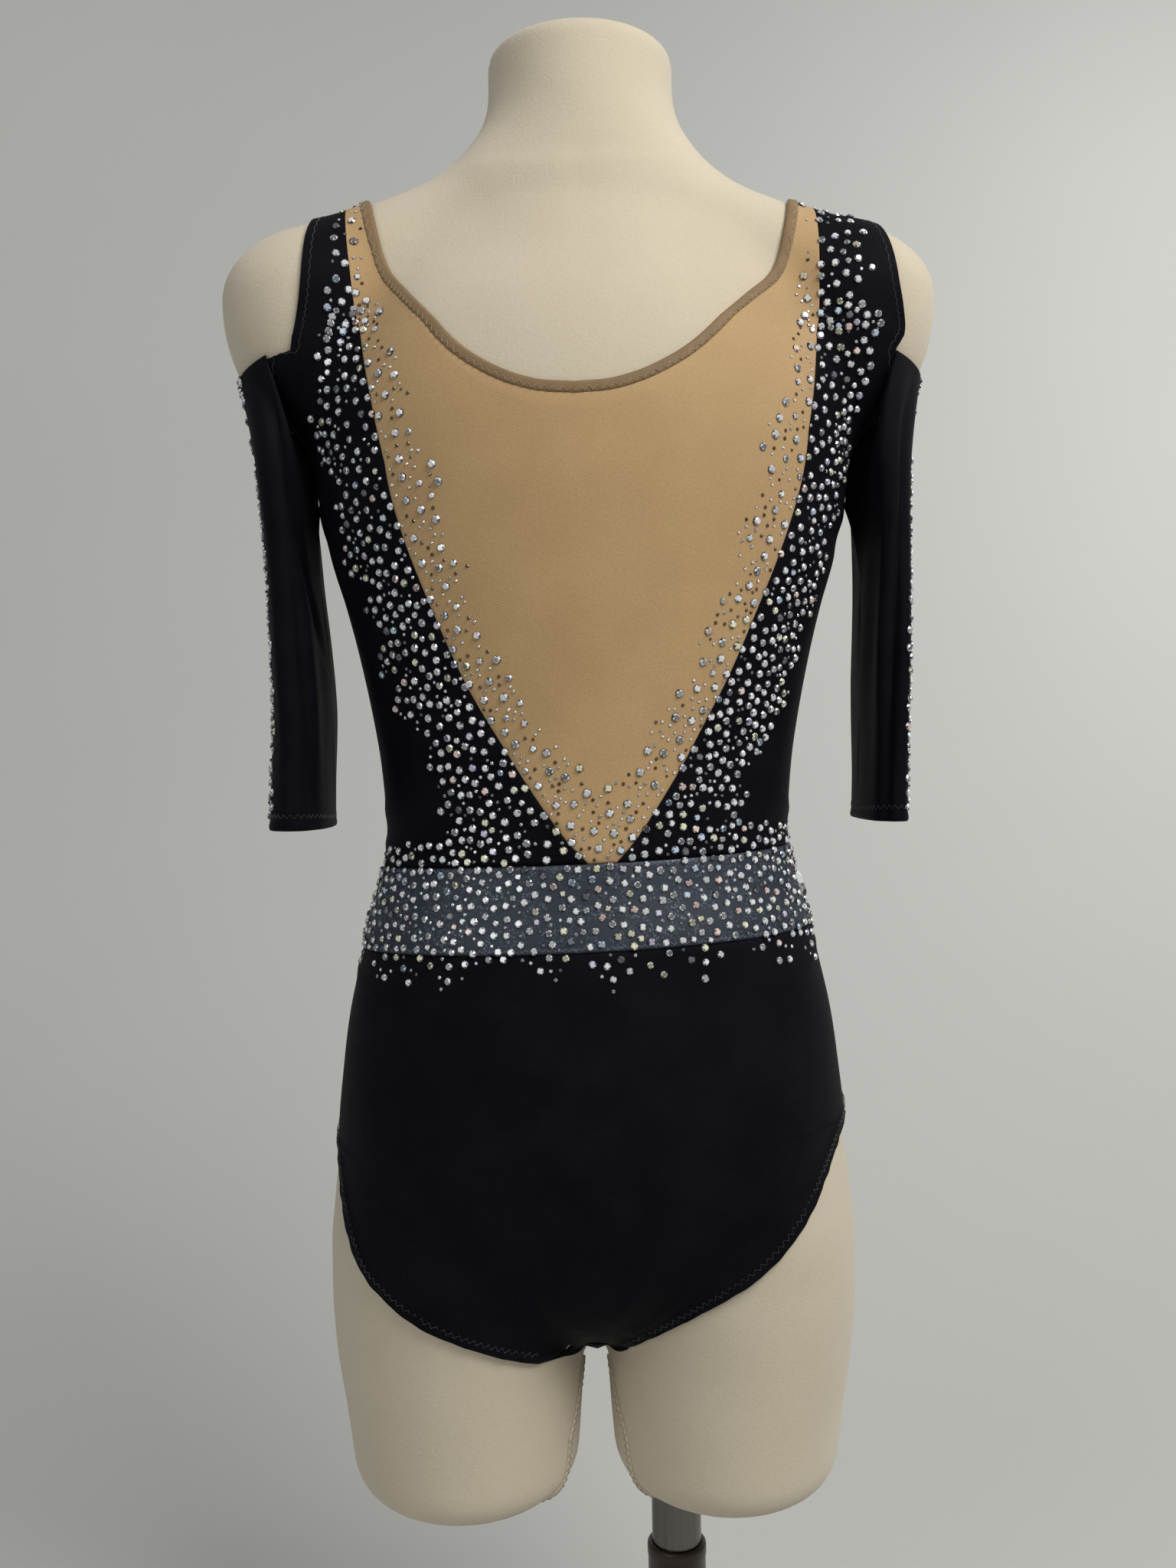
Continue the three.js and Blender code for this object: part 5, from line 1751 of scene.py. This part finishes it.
# %% Zigzag tree
zigzag_tree = Tree("zigzag thread", [
    ("Swing", "NodeSocketFloat"), ("Thread", "NodeSocketFloat"), ("Material", "NodeSocketMaterial"),
])
count_node = zigzag_tree.node("GeometryNodeInputIndex")
other = zigzag_tree.node("ShaderNodeMath", {"operation": "MODULO"}, {0: count_node.outputs[0], 1: 2.0})
swung = zigzag_tree.node("ShaderNodeMath", {"operation": "SUBTRACT"}, {0: other.outputs[0], 1: 0.5})
reach = zigzag_tree.node("ShaderNodeMath", {"operation": "MULTIPLY"},
                         {0: swung.outputs[0], 1: zigzag_tree.given.outputs["Swing"]})
move = zigzag_tree.node("ShaderNodeVectorMath", {"operation": "SCALE"}, {
    0: zigzag_tree.attribute("aside", "FLOAT_VECTOR"), "Scale": reach.outputs[0],
})
shifted = zigzag_tree.node("GeometryNodeSetPosition", None, {
    "Geometry": zigzag_tree.given.outputs["Geometry"], "Offset": move.outputs[0],
})
line = zigzag_tree.node("GeometryNodeMeshToCurve", None, {"Mesh": shifted.outputs[0]})
round_thread = zigzag_tree.node("GeometryNodeCurvePrimitiveCircle", {"mode": "RADIUS"}, {
    "Resolution": 5, "Radius": zigzag_tree.given.outputs["Thread"],
})
tube = zigzag_tree.node("GeometryNodeCurveToMesh", None, {
    "Curve": line.outputs[0], "Profile Curve": round_thread.outputs[0], "Fill Caps": True,
})
zigzag_tree.end(tube.outputs[0], zigzag_tree.given.outputs["Material"])


def sew(name, p, aside, stitch, finish, closed=False):
    """A zigzag along points in millimetres, with the direction to swing at each.

    The stitch gives how wide the zigzag swings and the thread's radius.
    """
    mesh = bpy.data.meshes.new(name)
    count = len(p)
    edges = [(k, k + 1) for k in range(count - 1)]
    if closed:
        edges.append((count - 1, 0))
    mesh.from_pydata(raised(p).tolist(), edges, [])
    layer = mesh.attributes.new("aside", "FLOAT_VECTOR", "POINT")
    layer.data.foreach_set("vector", np.asarray(aside).ravel())
    values = {"Swing": stitch["swing"] * MM, "Thread": stitch["thread"] * MM, "Material": finish.material}
    piece = grown(name, link(name, mesh), zigzag_tree, values)
    piece.data.shade_smooth()
    dressed(piece, finish)
    print(name, count, "points")


def by_length(path, step):
    """A path with a point at every step of its length."""
    length = np.concatenate([[0], np.cumsum(np.linalg.norm(np.diff(path, axis=0), axis=1))])
    want = np.arange(0, length[-1], step)
    return np.stack([np.interp(want, length, path[:, k]) for k in range(path.shape[1])], -1)


def sideways(p, n):
    """Direction across a line that lies on the skin."""
    along = np.gradient(p, axis=0)
    across = np.cross(along, n)
    return across / np.linalg.norm(across, axis=1, keepdims=True)


def sew_on_skin(name, face, path, top, stitch, finish):
    """A zigzag along a line of places across and up. top gives how far it stands off the skin."""
    path = by_length(path, stitch["step"])
    p, n = skin(face, path[:, 0], path[:, 1])
    sew(name, p + n * top(path)[:, None], sideways(p, n), stitch, finish)


print("the zigzag's tree has", len(zigzag_tree.tree.nodes), "nodes")

# %% [markdown]
# Zigzag round the neck
#
# The binding is held down by one row of zigzag near its lower edge, in thread of its own colour.
# The path is the neckline itself, moved down by two thirds of the binding's width.

# %% Neck zigzag
FACES = (("back", BACK), ("front", FRONT))
NECK_STITCH = {"down": 0.68 * BINDING_WIDE, "step": 2.2, "swing": 2.3, "thread": 0.21}
SUNK = 0.05
for face_label, face in FACES:
    path = neckline(face, NECK_STITCH["down"], 200)
    sew_on_skin(
        f"neck_zigzag_{face_label}", face, path,
        lambda path: np.full(len(path), CLEAR + BINDING - SUNK), NECK_STITCH, tan_thread,
    )

# %% [markdown]
# Zigzag round the leg openings
#
# A turned hem over elastic is caught down by a zigzag 5 mm in from the edge. The path is the leg
# line moved square to itself, and it rides on top of the turned cloth.

# %% Leg zigzag
ZIGZAG_IN = 4.6
LEG_STITCH = {"step": 1.9, "swing": 2.6, "thread": 0.2}
CROTCH_SEAM = {BACK: CROTCH_SEAM_BACK, FRONT: CROTCH_SEAM_FRONT}
for face_label, face in FACES:
    for label, side in SIDES:
        ups = np.linspace(CROTCH_SEAM[face] + 1, LEG_SIDE[label] - 1, 300)
        edge = leg_edges(face, ups)[0 if side < 0 else 1]
        slope = np.gradient(edge, ups)
        size = np.sqrt(1 + slope**2)
        path = np.stack([edge - side * ZIGZAG_IN / size, ups + side * ZIGZAG_IN * slope / size], -1)
        sew_on_skin(
            f"leg_zigzag_{face_label}_{label}", face, path,
            lambda path: surface(face, path[:, 0], path[:, 1]) + HEM_PROUD + 0.05, LEG_STITCH, black_thread,
        )

# %% [markdown]
# Stitches along the belt
#
# Both edges of the belt are overlocked to the black, which shows as a fine grey zigzag just inside
# each seam. The path runs round the back from left to right and home across the front.

# %% Belt edges
BELT_STITCH = {"in": 1.8, "step": 1.7, "swing": 1.3, "thread": 0.17}


def belt_stitches(label, up):
    """One row of zigzag all round the waist."""
    half = side_seam(np.array([up]))[0] - 0.5
    across = np.linspace(-half, half, int(2 * half / BELT_STITCH["step"]))
    behind, behind_n = skin(BACK, across, up)
    before, before_n = skin(FRONT, across[::-1], up)
    p = np.concatenate([behind, before])
    n = np.concatenate([behind_n, before_n])
    place = p + n * (CLEAR + BELT_CLOTH + 0.05)
    sew(f"belt_stitch_{label}", place, sideways(p, n), BELT_STITCH, grey_thread, closed=True)


belt_stitches("top", WAIST_TOP - BELT_STITCH["in"])
belt_stitches("bottom", WAIST_BOTTOM + BELT_STITCH["in"])

# %% [markdown]
# Seams of the form's cover
#
# The jersey cover is joined down the inside of each thigh and on under its rounded end. The seam
# stands up as a narrow lip, and a cream overlock thread runs to and fro over it.

# %% Cover seams
SEAM_BACK_TOP = math.radians(10)
SEAM_BACK_LOW = math.radians(30)
SEAM_TOP = -13.0
SEAM_TURN_UP = -50.0
SEAM_DIP = math.radians(88)
SEAM_POINTS = 60
THIGH_MIDDLE = 76.0
LIP = {"swing": 0.0, "thread": 1.3}
COVER_STITCH = {"step": 2.0, "swing": 3.4, "thread": 0.3}


def thigh_seam(label, side):
    """Down the inside of a thigh, then round under its end to the middle."""
    downs = np.linspace(SEAM_TOP, SEAM_TURN_UP, SEAM_POINTS)
    backs = np.linspace(SEAM_BACK_TOP, SEAM_BACK_LOW, SEAM_POINTS)
    dips = np.linspace(0, SEAM_DIP, SEAM_POINTS)[1:]
    up = np.concatenate([downs, np.full(len(dips), SEAM_TURN_UP)])
    dip = np.concatenate([np.zeros(len(downs)), dips])
    backward = np.concatenate([backs, np.full(len(dips), SEAM_BACK_LOW)])
    origin = np.stack([np.full(len(up), side * THIGH_MIDDLE), np.zeros(len(up)), up], -1)
    direction = np.stack([
        -side * np.cos(backward) * np.cos(dip), -np.sin(backward), -np.cos(backward) * np.sin(dip),
    ], -1)
    path = by_length(leave(origin, direction, one_thigh(side)), COVER_STITCH["step"])
    n = normals(path)
    aside = sideways(path, n)
    sew(f"cover_lip_{label}", path + n * 0.2, aside, LIP, jersey)
    sew(f"cover_stitch_{label}", path + n * (0.1 + LIP["thread"]), aside, COVER_STITCH, cream_thread)


for label, side in SIDES:
    thigh_seam(label, side)

# %% [markdown]
# Stitches on sleeves and straps
#
# Each sleeve's hem is turned up and caught by a zigzag 5 mm above the edge. The armhole's edge has
# a row of stitches from the underarm up over the strap, black on black, so they only catch the
# light. The hem's row is read off the sleeve's grid, and the other follows the bodice's own edge.

# %% Sleeve hems and armholes
HEM_STITCH = {"step": 2.0, "swing": 2.2, "thread": 0.18}
ARM_STITCH = {"in": 4.4, "step": 2.4, "swing": 1.0, "thread": 0.2}

for label, side in SIDES:
    place, normal = sleeves[side]
    row = place.shape[0] - 1
    while place[row, 0, 2] < SLEEVE_HEM + HEM_BAND:
        row -= 1
    # Each point carries its direction too, so the stitches come a little closer where the hem turns.
    ring = np.concatenate([place[row] + normal[row] * (CLOTH / 2 + 0.1), normal[row]], axis=1)
    ring = by_length(np.concatenate([ring, ring[:1]]), HEM_STITCH["step"])[:, :3]
    upward = np.tile([0.0, 0.0, 1.0], (len(ring), 1))
    sew(f"hem_zigzag_{label}", ring, upward, HEM_STITCH, black_thread, closed=True)
    for face_label, face in FACES:
        ups = np.linspace(UNDERARM + 2, RIDGE - 1, 300)
        edge = side * (bodice_edge(side, ups) - ARM_STITCH["in"])
        sew_on_skin(
            f"armhole_zigzag_{face_label}_{label}", face, np.stack([edge, ups], -1),
            lambda path: surface(face, path[:, 0], path[:, 1]) + 0.02, ARM_STITCH, black_thread,
        )

# %% [markdown]
# Stand
#
# The rod is polished steel tube and the stand is turned and lacquered, so both are lathed here
# with fine rounded edges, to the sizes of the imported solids.

# %% Stand
LATHE_SIDES = 96
SAME_POINT = 1e-6
SHARP_FROM = math.radians(40)


def round_solid(node):
    """Radius of a round solid, and its lowest and highest height."""
    low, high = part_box(node)
    return (high[0] - low[0]) / 2, low[2], high[2]


def rounded(r, z, cut, inward, steps=4):
    """A quarter round at the corner (r, z), from the side to the end."""
    corner = []
    for a in np.linspace(0, math.pi / 2, steps + 1):
        corner.append((r - cut + cut * math.cos(a), z - inward * cut + inward * cut * math.sin(a)))
    return corner


def turned_piece(name, node, profile, finish):
    """A closed lathed piece in a round solid's place, from (radius, height) pairs in metres."""
    low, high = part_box(node)
    x = (low[0] + high[0]) / 2
    y = (low[1] + high[1]) / 2
    turn = np.arange(LATHE_SIDES) * TURN / LATHE_SIDES
    rings = []
    for r, z in profile:
        rings.append(np.stack([x + r * np.cos(turn), y + r * np.sin(turn), np.full(LATHE_SIDES, z)], -1))
    at = np.arange(len(rings) * LATHE_SIDES).reshape(len(rings), LATHE_SIDES)
    faces = []
    for i in range(len(rings)):
        following = (i + 1) % len(rings)
        if profile[i][0] < SAME_POINT and profile[following][0] < SAME_POINT:
            continue
        for j in range(LATHE_SIDES):
            k = (j + 1) % LATHE_SIDES
            faces.append([at[i, j], at[i, k], at[following, k], at[following, j]])
    piece = solid(name, np.concatenate(rings), np.array(faces))
    weld = piece.modifiers.new("weld", "WELD")
    weld.merge_threshold = SAME_POINT
    applied(piece)
    piece.data.shade_smooth()
    piece.data.set_sharp_from_angle(angle=SHARP_FROM)
    dressed(piece, finish, node)
    print(name, len(piece.data.polygons), "faces")


rod_r, rod_low, rod_high = round_solid("stand_rod")
turned_piece("rod", "stand_rod", [
    (0, rod_low), *reversed(rounded(rod_r, rod_low, 1 * MM, -1)),
    *rounded(rod_r, rod_high, 1 * MM, 1), (0, rod_high),
], steel)

# %% [markdown]
# Tube and plate
#
# The tube that holds the rod has a thin flange at its foot and a raised, rounded rim at its mouth,
# the one part of the stand that shows well. The plate is a plain disc with eased edges.

# %% Tube and plate
TUBE_R = 16.8 * MM
RIM_R = 17.2 * MM
RIM_TALL = 7 * MM
BORE_PLAY = 0.3 * MM
FLANGE_TALL = 3 * MM
PLATE_EDGE = 2.5 * MM

bore_r = rod_r + BORE_PLAY
flange_r, foot, mouth = round_solid("stand_tube")
turned_piece("tube", "stand_tube", [
    (bore_r, foot), *reversed(rounded(flange_r, foot, 0.4 * MM, -1)),
    *rounded(flange_r, foot + FLANGE_TALL, 1 * MM, 1),
    (TUBE_R + 1.2 * MM, foot + 4.2 * MM), (TUBE_R, foot + 6 * MM),
    (TUBE_R, mouth - RIM_TALL - 1 * MM), (RIM_R, mouth - RIM_TALL), (RIM_R, mouth - 2 * MM),
    (RIM_R - 0.3 * MM, mouth - 0.9 * MM), (RIM_R - 0.9 * MM, mouth - 0.3 * MM), (RIM_R - 1.6 * MM, mouth),
    (bore_r, mouth),
], bronze)
plate_r, plate_low, plate_high = round_solid("base_plate")
turned_piece("plate", "base_plate", [
    (0, plate_low), *reversed(rounded(plate_r, plate_low, PLATE_EDGE, -1)),
    *rounded(plate_r, plate_high, PLATE_EDGE, 1), (plate_r * 0.5, plate_high), (0, plate_high),
], bronze)

# %% [markdown]
# The room
#
# The photograph has a plain grey-white wall behind the form. Here the floor and wall are one pale
# sweep with a wide bend, so that no corner shows. It stands well back, so that the form can be seen
# from behind too.

# %% Floor and wall
sweep = Finish("studio_sweep")
at = sweep.place()
sweep.colour(sweep.mix(sweep.noise(at, 3.0, 2.0), (0.615, 0.62, 0.595), (0.635, 0.64, 0.615)))
sweep.rough(0.9)
SWEEP_WIDE = 5.0
SWEEP_BACK = 2.3
SWEEP_FRONT = -3.0
SWEEP_TALL = 4.2
SWEEP_BEND = 1.8
BEND_STEPS = 40

run = [(SWEEP_FRONT, 0.0)]
for a in np.linspace(0, math.pi / 2, BEND_STEPS):
    run.append((SWEEP_BACK - SWEEP_BEND + SWEEP_BEND * math.sin(a), SWEEP_BEND - SWEEP_BEND * math.cos(a)))
run.append((SWEEP_BACK, SWEEP_TALL))
points = [(x, y, z) for y, z in run for x in (-SWEEP_WIDE, SWEEP_WIDE)]
faces = [(2 * k, 2 * k + 1, 2 * k + 3, 2 * k + 2) for k in range(len(run) - 1)]
backdrop_mesh = bpy.data.meshes.new("backdrop")
backdrop_mesh.from_pydata(points, [], faces)
backdrop_mesh.shade_smooth()
backdrop_mesh.materials.append(sweep.material)
backdrop = link("backdrop", backdrop_mesh)
print("the wall stands", SWEEP_BACK, "m behind the form")

# %% [markdown]
# The light
#
# The photograph is lit softly from the right, in front and above, and its wall is brighter on that
# side. A large key light and a weak fill do the first, and two lights aimed at the wall do the
# second. The Standard view keeps the black cloth as dark as the shaders say.

# %% Light
ROOM_COLOUR = (0.95, 0.97, 1.0, 1)
ROOM_STRENGTH = 0.20
world = bpy.data.worlds.new("room")
bpy.context.scene.world = world
world.use_nodes = True
background = world.node_tree.nodes["Background"]
background.inputs["Color"].default_value = ROOM_COLOUR
background.inputs["Strength"].default_value = ROOM_STRENGTH
bpy.context.scene.view_settings.view_transform = "Standard"


def soft_light(name, place, aim, size, watts, colour):
    """A rectangular light at a place, turned to what it is aimed at."""
    data = bpy.data.lights.new(name, "AREA")
    data.shape = "RECTANGLE"
    data.size = size[0]
    data.size_y = size[1]
    data.energy = watts
    data.color = colour
    light = bpy.data.objects.new(name, data)
    bpy.context.scene.collection.objects.link(light)
    light.location = place
    light.rotation_euler = (Vector(aim) - Vector(place)).to_track_quat("-Z", "Y").to_euler()


soft_light("key", (0.95, -1.1, 2.0), (0, 0, 0.8), (1.2, 0.9), 31, (1.0, 0.98, 0.95))
soft_light("fill", (-1.2, -1.5, 1.3), (0, 0, 0.7), (1.0, 1.4), 5.5, (0.97, 0.98, 1.0))
soft_light("wall wash right", (1.8, 0.9, 1.9), (0.5, 2.3, 1.0), (1.0, 1.0), 17, (1.0, 1.0, 0.98))
soft_light("wall wash left", (-1.6, 0.7, 2.2), (-0.4, 2.3, 1.4), (1.0, 1.0), 6.5, (1.0, 1.0, 0.98))
print(len(bpy.data.lights), "lights")

# %% [markdown]
# Sizes, and the end
# The end
# The loose stone was only a pattern for the others, so it goes. The form's own finer surface reaches
# past its imported solid by under 2 mm, at the shoulder caps and the neck.

# %% The end
bpy.data.objects.remove(stone_shape)
